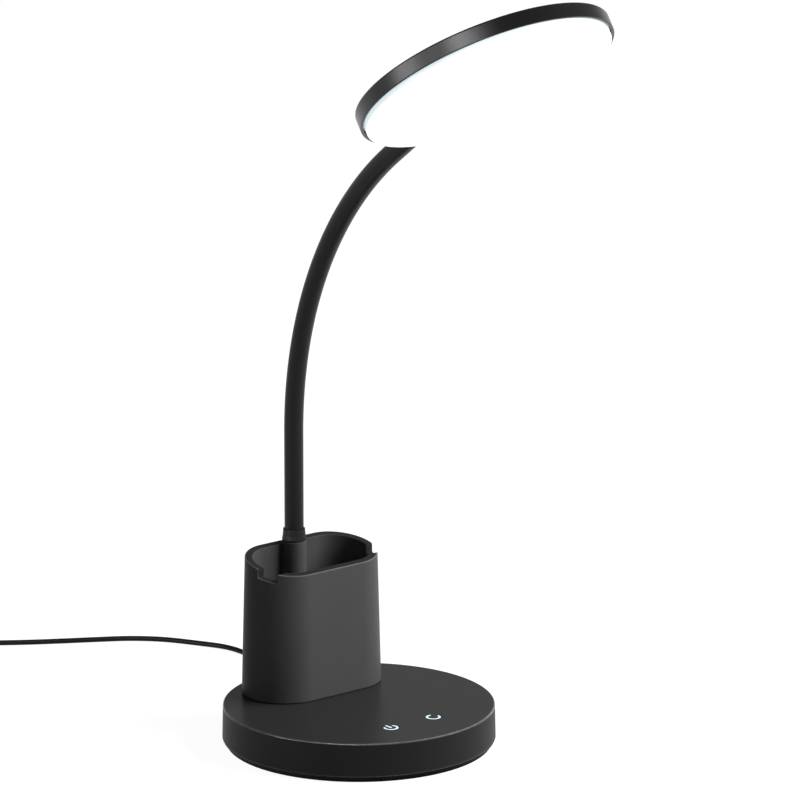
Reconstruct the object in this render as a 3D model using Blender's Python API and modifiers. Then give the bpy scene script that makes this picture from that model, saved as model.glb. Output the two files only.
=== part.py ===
"""Desk lamp with a round LED head, a bending neck and a pen cup on a round base.

Lengths are in metres. The origin is the middle of the foot's underside, +Z is up and the lamp faces -Y.
"""

from math import atan2, cos, degrees, pi, radians, sin, tan

import bmesh
import bpy
from mathutils import Matrix, Vector

MM = 0.001

# Clearance that the pieces keep to each other, how far a cut runs past a face, and how far a boss runs into one
GAP = 0.3 * MM
CUT_PAST = 2.0 * MM
OVERLAP = 1.0 * MM

# Base: a turned housing over a bottom cover, a foot pad and a steel weight
BASE_TOP_R = 70.0 * MM
BASE_DRAFT = 0.4 * MM
BASE_TOP_Z = 20.7 * MM
BASE_WALL = 2.0 * MM
BASE_TOP_T = 2.2 * MM
BASE_EDGE = 0.5 * MM
PAD_INSET = 0.8 * MM
PAD_T = 1.2 * MM
COVER_INSET = 1.2 * MM
COVER_FLANGE_T = 0.6 * MM
COVER_T = 2.6 * MM
WEIGHT_INSET = 18.4 * MM
WEIGHT_T = 5.0 * MM
WEIGHT_HOLE_R = 6.0 * MM
BASE_BOSS_INSET = 10.4 * MM
BASE_BOSS_R = 4.0 * MM
BASE_BOSS_ANGLES = (25.0, 155.0, 215.0, 325.0)

# Screws
BASE_SCREW_R = 1.45 * MM
BASE_SCREW_LENGTH = 11.0 * MM
BASE_SCREW_HEAD_R = 2.7 * MM
BASE_SCREW_HEAD_T = 1.3 * MM
BOARD_SCREW_R = 1.0 * MM
BOARD_SCREW_LENGTH = 4.0 * MM
BOARD_SCREW_HEAD_R = 1.9 * MM
BOARD_SCREW_HEAD_T = 0.9 * MM
RETAINER_SCREW_R = 1.0 * MM
RETAINER_SCREW_LENGTH = 3.2 * MM
RETAINER_SCREW_HEAD_R = 1.9 * MM
RETAINER_SCREW_HEAD_T = 0.8 * MM

# Touch icons and the board under them
ICON_X = 14.0 * MM
ICON_INSET = 27.0 * MM
ICON_RING_R = 3.3 * MM
ICON_STROKE = 1.0 * MM
ICON_BACK_R = 6.0 * MM
ICON_BACK_T = 1.6 * MM
ICON_FIT = 0.2 * MM
POWER_GAP_DEG = 112.0
POWER_BAR_PAST_MIDDLE = 0.55 * MM
POWER_BAR_PAST_RING = 0.6 * MM
DIMMER_GAP_DEG = 83.0
DIMMER_GAP_AT_DEG = 41.0
BOARD_LENGTH = 56.0 * MM
BOARD_WIDTH = 34.0 * MM
BOARD_T = 1.6 * MM
BOARD_INSET = 15.0 * MM
BOARD_BOSS_SIDE = 5.0 * MM
BOARD_BOSS_BACK = 6.0 * MM
BOARD_BOSS_R = 3.0 * MM
LED_SIDE = 3.0 * MM
LED_T = 0.9 * MM
LED_TO_ICON = 1.8 * MM

# Pen cup: round-ended plan, drafted walls, rim sloping down to the front
CUP_HALF_FLAT = 17.5 * MM
CUP_END_R = 22.5 * MM
CUP_FROM_EDGE = 8.6 * MM
CUP_FRONT_H = 67.7 * MM
CUP_RIM_SLOPE = radians(9.4)
CUP_DRAFT = 1.95 * MM
CUP_WALL = 4.2 * MM
CUP_FLOOR_T = 2.0 * MM
CUP_SKIRT_H = 6.0 * MM
NOTCH_WIDTH = 9.9 * MM
NOTCH_DEPTH = 4.65 * MM
NOTCH_FORWARD = 8.45 * MM
CUP_SCREW_X = 24.0 * MM
CUP_BOSS_R = 3.6 * MM
CUP_SCREW_LENGTH = 7.0 * MM
CUP_SIDES = 10

# Neck: up through a column in the cup, then one long bend forward into the head
COLUMN_R = 6.4 * MM
COLUMN_INTO_WALL = 2.2 * MM
COLUMN_PROUD = 0.8 * MM
COLUMN_SOCKET_DEPTH = 17.5 * MM
NECK_STRAIGHT = 57.5 * MM
NECK_BEND_R = 203.0 * MM
NECK_BEND_DEG = 52.8
NECK_LAST_RUN = 21.85 * MM
HEAD_TWIST_DEG = 1.5
SLEEVE_R_FOOT = 5.0 * MM
SLEEVE_R_WAIST = 5.0 * MM
SLEEVE_R_HEAD = 5.25 * MM
SLEEVE_BORE_R = 3.85 * MM
SLEEVE_DOWN = 16.0 * MM
SLEEVE_SIDES = 16
LINK_R = 3.4 * MM
LINK_NECK_R = 1.5 * MM
LINK_BORE_R = 0.95 * MM
LINK_BALL_R = 2.45 * MM
LINK_LIP_DEG = 20.0
LINK_SHOULDER = 3.0 * MM
LINK_SIDES = 12
LINK_RING_STEP = 14.0 * MM
CABLE_R = 0.6 * MM
FIRST_STATION = 30.0 * MM
LAST_STATION_BACK = 36.4 * MM
STATION_KINDS = ("bend", "lean", "bend", "bend", "lean", "bend")
ROOT_ROD_R = 4.0 * MM
ROD_PAST_NUT = 0.9 * MM
WASHER_R = 8.0 * MM
WASHER_T = 1.0 * MM
NUT_FLATS = 13.0 * MM
NUT_T = 4.0 * MM
BOOT_R_FOOT = 6.3 * MM
BOOT_R_TIP = 5.7 * MM
BOOT_H = 6.0 * MM

# Head: a shallow round tray, its layers stacked up from the diffuser
HEAD_R = 67.0 * MM
HEAD_WALL = 1.5 * MM
HEAD_WALL_H = 8.1 * MM
HEAD_DOME = 1.2 * MM
HEAD_SKIN = 1.5 * MM
HEAD_EDGE = 0.6 * MM
NECK_AXIS_H = 5.4 * MM
HUMP_R = 5.6 * MM
HUMP_LENGTH = 22.0 * MM
FERRULE_R = 3.1 * MM
FERRULE_LENGTH = 18.0 * MM
FERRULE_GROOVE_R = 2.1 * MM
FERRULE_GROOVE_T = 1.1 * MM
FERRULE_GROOVE_IN = 4.2 * MM
DIFFUSER_PROUD = 2.5 * MM
DIFFUSER_T = 1.5 * MM
DIFFUSER_EDGE = 0.8 * MM
DIFFUSER_SKIRT_T = 1.2 * MM
DIFFUSER_SKIRT_H = 3.4 * MM
GUIDE_T = 1.6 * MM
STRIP_T = 1.4 * MM
REFLECTOR_T = 0.3 * MM
RETAINER_T = 1.2 * MM
RETAINER_BOSS_INSET = 16.8 * MM
RETAINER_BOSS_R = 3.0 * MM
RETAINER_SCREW_ANGLES = (-90.0, 30.0, 150.0)
CLIP_WIDTH = 11.0 * MM
CLIP_T = 0.5 * MM
CABLE_TAIL = 6.0 * MM
CONNECTOR_SIZE = (6.0 * MM, 6.0 * MM, 3.0 * MM)

# Supply cord, its strain relief, its coil and its plug
CORD_R = 1.4 * MM
CORD_LENGTH = 1.2
CORD_REST_Z = 1.45 * MM
RELIEF_Z = 9.5 * MM
RELIEF_FLANGE_R = 4.4 * MM
RELIEF_FLANGE_T = 1.4 * MM
RELIEF_NECK_R = 2.8 * MM
RELIEF_LENGTH = 14.0 * MM
RELIEF_R_ROOT = 3.4 * MM
RELIEF_R_TIP = 1.9 * MM
RELIEF_COLLAR = 2.0 * MM
LEAD_LANE_X = 16.0 * MM
CABLE_LANE_X = 7.0 * MM
CORD_ROUTE = (
    (0.0, 88.5, 9.4),
    (1.6, 95.5, 8.0),
    (7.4, 103.6, 4.4),
    (16.6, 111.6, 1.8),
    (26.8, 119.6, 1.45),
    (36.6, 129.4, 1.45),
    (43.6, 141.4, 1.45),
    (46.8, 155.0, 1.45),
    (45.6, 169.5, 1.45),
    (38.9, 183.9, 1.45),
    (28.2, 202.0, 1.45),
    (15.3, 215.0, 1.45),
    (0.5, 224.6, 1.45),
    (-15.0, 233.9, 1.45),
    (-31.0, 243.8, 1.5),
    (-46.0, 253.3, 1.8),
)
COIL_X = -80.5 * MM
COIL_Y = 248.6 * MM
COIL_MEAN_R = 16.0 * MM
COIL_STEP = 3.3 * MM
COIL_LAYERS = 2
COIL_START_DEG = 58.0
COIL_END_DEG = 180.0
COIL_FULL_TURNS = 9
COIL_LIFT = 0.55 * MM
COIL_POINTS_A_TURN = 24
TAIL_RUN = 14.0 * MM
TIE_AT_DEG = 250.0
TIE_WIDTH = 5.0 * MM
TIE_T = 0.4 * MM
TIE_FIT = 0.15 * MM
PLUG_WIDTH = 12.6 * MM
PLUG_HEIGHT = 8.0 * MM
PLUG_LENGTH = 19.0 * MM
PLUG_NECK_LENGTH = 7.0 * MM
PLUG_NECK_R = 1.9 * MM
PLUG_CORNER = 1.6 * MM
PLUG_SHOULDER = 3.5 * MM
PLUG_OFF_TABLE = 0.1 * MM
PLUG_SHELL_WIDTH = 12.0 * MM
PLUG_SHELL_HEIGHT = 4.5 * MM
PLUG_SHELL_LENGTH = 12.0 * MM
PLUG_SHELL_WALL = 0.6 * MM
PLUG_SHELL_FLOOR = 3.0 * MM
PLUG_TONGUE_H = 2.0 * MM

ROUND_LARGE = 64
ROUND_SMALL = 12
SCREW_SIDES = 10

# Radii and places that follow from the sizes above
BASE_FOOT_R = BASE_TOP_R + BASE_DRAFT
BASE_INNER_R = BASE_FOOT_R - BASE_WALL
COVER_R = BASE_FOOT_R - COVER_INSET
PAD_R = COVER_R - PAD_INSET
WEIGHT_R = BASE_INNER_R - WEIGHT_INSET
BASE_BOSS_RING_R = BASE_INNER_R - BASE_BOSS_INSET
ICON_Y = -(BASE_TOP_R - ICON_INSET)
BOARD_Y = -(BASE_TOP_R - BOARD_INSET - BOARD_WIDTH / 2.0)
BOARD_BOSS_X = BOARD_LENGTH / 2.0 - BOARD_BOSS_SIDE
BOARD_BOSS_Y = BOARD_Y + BOARD_WIDTH / 2.0 - BOARD_BOSS_BACK
CUP_Y = BASE_TOP_R - CUP_FROM_EDGE - CUP_END_R
NECK_Y = CUP_Y + CUP_END_R - CUP_WALL + COLUMN_INTO_WALL - COLUMN_R

# Heights that follow from the sizes above
COVER_Z = PAD_T + GAP
HOUSING_BOTTOM_Z = COVER_Z + COVER_FLANGE_T + GAP
COVER_TOP_Z = COVER_Z + COVER_T
PLATE_UNDER_Z = BASE_TOP_Z - BASE_TOP_T
WEIGHT_Z = COVER_TOP_Z + GAP
WEIGHT_TOP_Z = WEIGHT_Z + WEIGHT_T
ICON_BACK_Z = PLATE_UNDER_Z - GAP - ICON_BACK_T
BOARD_TOP_Z = ICON_BACK_Z - LED_TO_ICON - LED_T - GAP
BOARD_BOTTOM_Z = BOARD_TOP_Z - BOARD_T
WASHER_Z = PLATE_UNDER_Z - GAP - WASHER_T
NUT_Z = WASHER_Z - GAP - NUT_T
ROOT_BOTTOM_Z = NUT_Z - ROD_PAST_NUT
CUP_Z = BASE_TOP_Z + GAP
CUP_FLOOR_Z = CUP_Z + CUP_SKIRT_H + CUP_FLOOR_T
CUP_FULL_H = CUP_FRONT_H + 2.0 * CUP_END_R * tan(CUP_RIM_SLOPE)
CUP_TOP_R = CUP_END_R - CUP_DRAFT
CUP_FRONT_Y = CUP_Y - CUP_TOP_R
COLUMN_TOP_Z = BASE_TOP_Z + CUP_FRONT_H + 2.0 * CUP_TOP_R * tan(CUP_RIM_SLOPE) + COLUMN_PROUD
NECK_BEND = radians(NECK_BEND_DEG)
NECK_ARC = NECK_BEND_R * NECK_BEND
HEAD_REACH = NECK_LAST_RUN + HEAD_R
NECK_TO_RIM = NECK_STRAIGHT + NECK_ARC + NECK_LAST_RUN
STATION_STEP = (NECK_TO_RIM - FIRST_STATION - LAST_STATION_BACK) / (len(STATION_KINDS) - 1)
STATIONS = [FIRST_STATION + STATION_STEP * i for i in range(len(STATION_KINDS))]
RETAINER_BOSS_RING_R = HEAD_R - RETAINER_BOSS_INSET
LINK_SOCKET_R = LINK_BALL_R + GAP


def clear_scene():
    """Removes whatever the scene holds."""
    for old in list(bpy.data.objects):
        bpy.data.objects.remove(old, do_unlink=True)
    for old in list(bpy.data.collections):
        bpy.data.collections.remove(old)


def new_collection(name):
    made = bpy.data.collections.new(name)
    bpy.context.scene.collection.children.link(made)
    return made


clear_scene()
PARTS = new_collection("led_desk_lamp")
CUTTERS = new_collection("cutters")


# Colour, roughness and metallic value of each finish
FINISHES = {
    "satin_black": ((0.018, 0.018, 0.019), 0.42, 0.0),
    "soft_black": ((0.016, 0.016, 0.017), 0.62, 0.0),
    "foot_rubber": ((0.012, 0.012, 0.012), 0.85, 0.0),
    "weight_steel": ((0.30, 0.30, 0.31), 0.50, 1.0),
    "plated_steel": ((0.55, 0.55, 0.56), 0.32, 1.0),
    "board_green": ((0.02, 0.12, 0.05), 0.45, 0.0),
    "icon_white": ((0.75, 0.87, 0.92), 0.35, 0.0),
    "led_yellow": ((0.85, 0.75, 0.35), 0.40, 0.0),
    "milky_white": ((0.93, 0.94, 0.95), 0.35, 0.0),
    "sheet_white": ((0.90, 0.90, 0.90), 0.55, 0.0),
    "clear_guide": ((0.88, 0.91, 0.93), 0.10, 0.0),
    "connector_white": ((0.80, 0.79, 0.74), 0.50, 0.0),
    "cord_black": ((0.015, 0.015, 0.015), 0.48, 0.0),
}


def coat(data, name, finish):
    """Gives mesh or curve data a Principled material of its own."""
    colour, roughness, metallic = FINISHES[finish]
    made = bpy.data.materials.new(name)
    made.use_nodes = True
    shader = made.node_tree.nodes["Principled BSDF"]
    shader.inputs["Base Color"].default_value = (*colour, 1.0)
    shader.inputs["Roughness"].default_value = roughness
    shader.inputs["Metallic"].default_value = metallic
    data.materials.append(made)


def place(name, data, finish=None, collection=None):
    """Links mesh or curve data as an object of the given name."""
    made = bpy.data.objects.new(name, data)
    (collection or PARTS).objects.link(made)
    if finish:
        coat(data, name, finish)
    return made


def set_apart(cutter):
    """Keeps a cutter out of the render and shows it as wire."""
    cutter.hide_render = True
    cutter.display_type = "WIRE"
    return cutter


def mesh_of(shape, name):
    """Turns a bmesh into mesh data whose faces point out."""
    bmesh.ops.recalc_face_normals(shape, faces=shape.faces)
    data = bpy.data.meshes.new(name)
    shape.to_mesh(data)
    shape.free()
    return data


def smooth(obj, angle=35.0):
    obj.data.shade_smooth()
    obj.data.set_sharp_from_angle(angle=radians(angle))
    return obj


def turned(name, profile, finish=None, sides=ROUND_LARGE, collection=None):
    """A profile of (radius, height) points, outer side from top to bottom, turned about +Z."""
    data = bpy.data.meshes.new(name)
    points = [(radius, 0.0, height) for radius, height in profile]
    closed = profile[0][0] > 0.0
    count = len(points)
    edges = [(i, (i + 1) % count) for i in range(count if closed else count - 1)]
    data.from_pydata(points, edges, [])
    made = place(name, data, finish, collection)
    screw = made.modifiers.new("turn", "SCREW")
    screw.steps = sides
    screw.render_steps = sides
    screw.use_merge_vertices = True
    screw.merge_threshold = 0.00001
    return made


def evaluated_mesh(obj):
    """The mesh that an object's modifiers or curve settings make, its doubles merged."""
    graph = bpy.context.evaluated_depsgraph_get()
    data = bpy.data.meshes.new_from_object(obj.evaluated_get(graph))
    shape = bmesh.new()
    shape.from_mesh(data)
    bmesh.ops.remove_doubles(shape, verts=shape.verts, dist=0.000002)
    shape.to_mesh(data)
    shape.free()
    return data


def baked(obj):
    """Replaces an object by one that holds its evaluated mesh."""
    name = obj.name
    matrix = obj.matrix_world.copy()
    collections = list(obj.users_collection)
    data = evaluated_mesh(obj)
    bpy.data.objects.remove(obj, do_unlink=True)
    made = bpy.data.objects.new(name, data)
    for collection in collections:
        collection.objects.link(made)
    made.matrix_world = matrix
    return made


def cylinders(name, items, sides=ROUND_SMALL, collection=None, finish=None):
    """One mesh of upright cylinders, each (x, y, bottom z, top z, radius)."""
    shape = bmesh.new()
    for x, y, low, high, radius in items:
        at = Matrix.Translation((x, y, (low + high) / 2.0))
        bmesh.ops.create_cone(
            shape, cap_ends=True, segments=sides, radius1=radius, radius2=radius, depth=high - low, matrix=at
        )
    return place(name, mesh_of(shape, name), finish, collection or CUTTERS)


def stepped_holes(name, places, radius, sink_radius, low, step, high, slot=None):
    """One cutter for countersunk holes: wide from low to step, narrow from step to high. It may hold a slot too."""
    shape = bmesh.new()
    for x, y in places:
        rings = []
        for r, z in ((sink_radius, low), (sink_radius, step), (radius, step), (radius, high)):
            turns = [2.0 * pi * i / ROUND_SMALL for i in range(ROUND_SMALL)]
            rings.append([shape.verts.new((x + r * cos(t), y + r * sin(t), z)) for t in turns])
        skin(shape, rings)
    if slot:
        corner, size = Vector(slot[0]), Vector(slot[1]) - Vector(slot[0])
        matrix = Matrix.Translation(corner + size / 2.0) @ Matrix.Diagonal((*size, 1.0))
        bmesh.ops.create_cube(shape, size=1.0, matrix=matrix)
    return place(name, mesh_of(shape, name), None, CUTTERS)


def box(name, low, high, finish=None, collection=None, turn=None):
    """A box between two corners, optionally turned by a matrix about its middle."""
    shape = bmesh.new()
    middle = (Vector(low) + Vector(high)) / 2.0
    size = Vector(high) - Vector(low)
    matrix = Matrix.Translation(middle) @ (turn or Matrix.Identity(4)) @ Matrix.Diagonal((*size, 1.0))
    bmesh.ops.create_cube(shape, size=1.0, matrix=matrix)
    return place(name, mesh_of(shape, name), finish, collection)


def boolean(obj, tool, operation="DIFFERENCE"):
    """Adds an exact Boolean of a cutter or of a piece that becomes part of the object."""
    set_apart(tool)
    step = obj.modifiers.new(tool.name, "BOOLEAN")
    step.operation = operation
    step.solver = "EXACT"
    step.object = tool
    return obj


def stadium(half_flat, radius, z, sides):
    """Points of a round-ended outline about the cup's middle, counter-clockwise."""
    points = []
    for side in (1.0, -1.0):
        for i in range(sides + 1):
            angle = side * pi / 2.0 * (2.0 * i / sides - 1.0) if side > 0 else pi / 2.0 + pi * i / sides
            points.append(Vector((side * half_flat + radius * cos(angle), CUP_Y + radius * sin(angle), z)))
    return points


def skin(shape, rows):
    """Adds a closed solid through rows of vertices, the first one lowest, to a bmesh."""
    for low, high in zip(rows, rows[1:]):
        for i in range(len(low)):
            j = (i + 1) % len(low)
            shape.faces.new((low[i], low[j], high[j], high[i]))
    shape.faces.new(list(reversed(rows[0])))
    shape.faces.new(rows[-1])


def loft(name, rings, collection):
    """A closed solid through rings of equal point counts, the first one lowest."""
    shape = bmesh.new()
    skin(shape, [[shape.verts.new(point) for point in ring] for ring in rings])
    return place(name, mesh_of(shape, name), None, collection)


def tube(name, points, radius, finish, resolution=2):
    """A round tube with filled caps through points."""
    data = bpy.data.curves.new(name, "CURVE")
    data.dimensions = "3D"
    data.bevel_depth = radius
    data.bevel_resolution = resolution
    data.use_fill_caps = True
    line = data.splines.new("POLY")
    line.points.add(len(points) - 1)
    for i, point in enumerate(points):
        line.points[i].co = (*point, 1.0)
    return place(name, data, finish)


def smooth_route(points, step):
    """Points about a step apart on a smooth curve through the given points."""
    ends = [points[0] * 2.0 - points[1], *points, points[-1] * 2.0 - points[-2]]
    fine = []
    for p0, p1, p2, p3 in zip(ends, ends[1:], ends[2:], ends[3:]):
        for i in range(40):
            t = i / 40.0
            fine.append(
                0.5
                * (
                    2.0 * p1
                    + (p2 - p0) * t
                    + (2.0 * p0 - 5.0 * p1 + 4.0 * p2 - p3) * t * t
                    + (3.0 * p1 - p0 - 3.0 * p2 + p3) * t * t * t
                )
            )
    fine.append(points[-1])
    total = sum((b - a).length for a, b in zip(fine, fine[1:]))
    count = max(2, round(total / step))
    made = [fine[0]]
    travelled = 0.0
    for a, b in zip(fine, fine[1:]):
        run = (b - a).length
        while len(made) < count and travelled + run >= total * len(made) / count:
            made.append(a.lerp(b, (total * len(made) / count - travelled) / run))
        travelled += run
    made.append(fine[-1])
    return made


def route_length(points):
    return sum((b - a).length for a, b in zip(points, points[1:]))


def neck_point(s):
    """The neck's centre line, s metres from the column's top."""
    if s <= NECK_STRAIGHT:
        return Vector((0.0, NECK_Y, COLUMN_TOP_Z + s))
    turn = min((s - NECK_STRAIGHT) / NECK_BEND_R, NECK_BEND)
    past = max(0.0, s - NECK_STRAIGHT - NECK_ARC)
    y = NECK_Y - NECK_BEND_R * (1.0 - cos(turn)) - past * sin(NECK_BEND)
    z = COLUMN_TOP_Z + NECK_STRAIGHT + NECK_BEND_R * sin(turn) + past * cos(NECK_BEND)
    return Vector((0.0, y, z))


def neck_turn(s):
    """The angle between the neck's direction at s and the vertical."""
    return max(0.0, min((s - NECK_STRAIGHT) / NECK_BEND_R, NECK_BEND))


def neck_direction(s):
    turn = neck_turn(s)
    return Vector((0.0, -sin(turn), cos(turn)))


def neck_side_axis(s):
    """The axis that a sideways lean turns about: square to the neck, in the lamp's middle plane."""
    turn = neck_turn(s)
    return Vector((0.0, cos(turn), sin(turn)))


def along_neck(obj):
    """Bends an object modelled upright about +Z, its z the distance s, onto the neck's centre line."""
    made = baked(obj)
    for vertex in made.data.vertices:
        x, y, s = vertex.co
        vertex.co = neck_point(s) + Vector((x, 0.0, 0.0)) + neck_side_axis(s) * y
    return made


def head_matrix():
    """The head's frame: its middle at the bezel's lower edge, +Z out of its back, +Y towards the neck."""
    end = neck_point(NECK_STRAIGHT + NECK_ARC)
    forward = neck_direction(NECK_STRAIGHT + NECK_ARC)
    back = Matrix((Vector((1.0, 0.0, 0.0)), -forward, neck_side_axis(NECK_STRAIGHT + NECK_ARC))).transposed().to_4x4()
    axis = Matrix.Translation(end + forward * HEAD_REACH) @ back
    twist = Matrix.Rotation(radians(HEAD_TWIST_DEG), 4, "Y")
    return axis @ twist @ Matrix.Translation((0.0, 0.0, -NECK_AXIS_H))


HEAD = bpy.data.objects.new("head_frame", None)
PARTS.objects.link(HEAD)
HEAD.matrix_world = head_matrix()
bpy.context.view_layer.update()


def on_head(obj):
    """Sets an object that was modelled in the head's frame onto the head."""
    obj.parent = HEAD
    return obj


def screw_profile(radius, length, head_r, head_t):
    """A pan head screw, its head's underside at height 0 and its shank pointing up."""
    return [
        (0.0, length),
        (radius * 0.6, length),
        (radius, length - radius),
        (radius, 0.0),
        (head_r, 0.0),
        (head_r * 0.8, -head_t),
        (0.0, -head_t),
    ]


def make_screw(name, at, radius, length, head_r, head_t):
    made = turned(name, screw_profile(radius, length, head_r, head_t), "plated_steel", SCREW_SIDES)
    made.location = at
    return made


def boss_places():
    """Where the four base screws stand."""
    return [
        (BASE_BOSS_RING_R * cos(radians(angle)), BASE_BOSS_RING_R * sin(radians(angle)))
        for angle in BASE_BOSS_ANGLES
    ]


def icon_outline(gap_deg, gap_at_deg, grow):
    """Outline of an open ring with round ends, grown by a clearance."""
    half = ICON_STROKE / 2.0 + grow
    start = radians(gap_at_deg + gap_deg / 2.0)
    sweep = radians(360.0 - gap_deg)
    count = 20
    outline = [(ICON_RING_R + half, start + sweep * i / count) for i in range(count + 1)]
    points = [Vector((r * cos(a), r * sin(a), 0.0)) for r, a in outline]
    for end, inner in ((start + sweep, 1.0), (start, -1.0)):
        middle = Vector((ICON_RING_R * cos(end), ICON_RING_R * sin(end), 0.0))
        if inner < 0:
            points += [
                Vector(((ICON_RING_R - half) * cos(start + sweep * i / count),
                        (ICON_RING_R - half) * sin(start + sweep * i / count), 0.0))
                for i in range(count, -1, -1)
            ]
        for k in (1, 2, 3):
            turn = end + pi * k / 4.0 + (0.0 if inner > 0 else pi)
            points.append(middle + Vector((cos(turn), sin(turn), 0.0)) * half)
    return points


def prism(shape, points, low, high):
    """Adds an upright prism over a flat outline to a bmesh."""
    skin(shape, [[shape.verts.new((p.x, p.y, z)) for p in points] for z in (low, high)])


def icon_shapes(name, kind, x, grow, low, high, collection):
    """The lit strokes of one icon as upright prisms: an open ring, and a bar on the power icon."""
    shape = bmesh.new()
    gap_deg, gap_at = (POWER_GAP_DEG, 90.0) if kind == "power" else (DIMMER_GAP_DEG, DIMMER_GAP_AT_DEG)
    centre = Vector((x, ICON_Y, 0.0))
    prism(shape, [p + centre for p in icon_outline(gap_deg, gap_at, grow)], low, high)
    if kind == "power":
        half = ICON_STROKE / 2.0 + grow
        bar_low = -POWER_BAR_PAST_MIDDLE - grow
        bar_high = ICON_RING_R + ICON_STROKE / 2.0 + POWER_BAR_PAST_RING + grow
        bar = [(-half, bar_low), (half, bar_low), (half, bar_high), (-half, bar_high)]
        prism(shape, [Vector((px, py, 0.0)) + centre for px, py in bar], low, high)
    return place(name, mesh_of(shape, name), None, collection)


def make_base_housing():
    profile = [
        (0.0, BASE_TOP_Z),
        (BASE_TOP_R - BASE_EDGE, BASE_TOP_Z),
        (BASE_TOP_R, BASE_TOP_Z - BASE_EDGE),
        (BASE_FOOT_R, HOUSING_BOTTOM_Z + BASE_EDGE),
        (BASE_FOOT_R - BASE_EDGE, HOUSING_BOTTOM_Z),
        (BASE_INNER_R, HOUSING_BOTTOM_Z),
        (BASE_INNER_R - BASE_DRAFT, PLATE_UNDER_Z),
        (0.0, PLATE_UNDER_Z),
    ]
    housing = turned("base_housing", profile, "satin_black")
    bosses = [(x, y, COVER_TOP_Z + GAP, PLATE_UNDER_Z + OVERLAP, BASE_BOSS_R) for x, y in boss_places()]
    bosses += [
        (side * BOARD_BOSS_X, BOARD_BOSS_Y, BOARD_TOP_Z + GAP, PLATE_UNDER_Z + OVERLAP, BOARD_BOSS_R)
        for side in (-1.0, 1.0)
    ]
    boolean(housing, cylinders("base_bosses", bosses), "UNION")
    holes = [
        (x, y, COVER_TOP_Z - CUT_PAST, COVER_TOP_Z + BASE_SCREW_LENGTH, BASE_SCREW_R + GAP)
        for x, y in boss_places()
    ]
    holes += [
        (side * BOARD_BOSS_X, BOARD_BOSS_Y, BOARD_TOP_Z - CUT_PAST, BOARD_TOP_Z + BOARD_SCREW_LENGTH,
         BOARD_SCREW_R + GAP)
        for side in (-1.0, 1.0)
    ]
    holes.append((0.0, NECK_Y, PLATE_UNDER_Z - CUT_PAST, BASE_TOP_Z + CUT_PAST, ROOT_ROD_R + GAP))
    holes += [
        (side * CUP_SCREW_X, CUP_Y, PLATE_UNDER_Z - CUT_PAST, BASE_TOP_Z + CUT_PAST, BASE_SCREW_R + GAP)
        for side in (-1.0, 1.0)
    ]
    boolean(housing, cylinders("base_holes", holes))
    for kind, x in (("power", -ICON_X), ("dimmer", ICON_X)):
        slots = icon_shapes(
            kind + "_slots", kind, x, ICON_FIT, PLATE_UNDER_Z - CUT_PAST, BASE_TOP_Z + CUT_PAST, CUTTERS
        )
        boolean(housing, slots)
    reach = BASE_WALL / 2.0 + 2.0 * CUT_PAST
    hole_r = RELIEF_NECK_R + GAP
    opening = turned(
        "relief_hole", [(0.0, reach), (hole_r, reach), (hole_r, -reach), (0.0, -reach)], None, ROUND_SMALL, CUTTERS
    )
    opening.location = (0.0, BASE_FOOT_R - BASE_WALL / 2.0, RELIEF_Z)
    opening.rotation_euler = (radians(-90.0), 0.0, 0.0)
    boolean(housing, opening)
    return housing


def make_bottom():
    spigot_r = BASE_INNER_R - BASE_DRAFT / 2.0 - GAP
    cover = turned(
        "bottom_cover",
        [
            (0.0, COVER_TOP_Z),
            (spigot_r, COVER_TOP_Z),
            (spigot_r, COVER_Z + COVER_FLANGE_T),
            (COVER_R, COVER_Z + COVER_FLANGE_T),
            (COVER_R, COVER_Z),
            (0.0, COVER_Z),
        ],
        "soft_black",
    )
    seat = COVER_Z + BASE_SCREW_HEAD_T + GAP
    holes = stepped_holes(
        "cover_holes", boss_places(), BASE_SCREW_R + GAP, BASE_SCREW_HEAD_R + GAP,
        COVER_Z - CUT_PAST, seat, COVER_TOP_Z + CUT_PAST,
    )
    boolean(cover, holes)
    turned("foot_pad", [(0.0, PAD_T), (PAD_R, PAD_T), (PAD_R, 0.0), (0.0, 0.0)], "foot_rubber")
    turned(
        "counterweight",
        [
            (WEIGHT_HOLE_R, WEIGHT_TOP_Z),
            (WEIGHT_R, WEIGHT_TOP_Z),
            (WEIGHT_R, WEIGHT_Z),
            (WEIGHT_HOLE_R, WEIGHT_Z),
        ],
        "weight_steel", 40,
    )
    for number, (x, y) in enumerate(boss_places(), 1):
        make_screw(
            "base_screw_%d" % number, (x, y, seat - GAP), BASE_SCREW_R, BASE_SCREW_LENGTH,
            BASE_SCREW_HEAD_R, BASE_SCREW_HEAD_T,
        )


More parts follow.
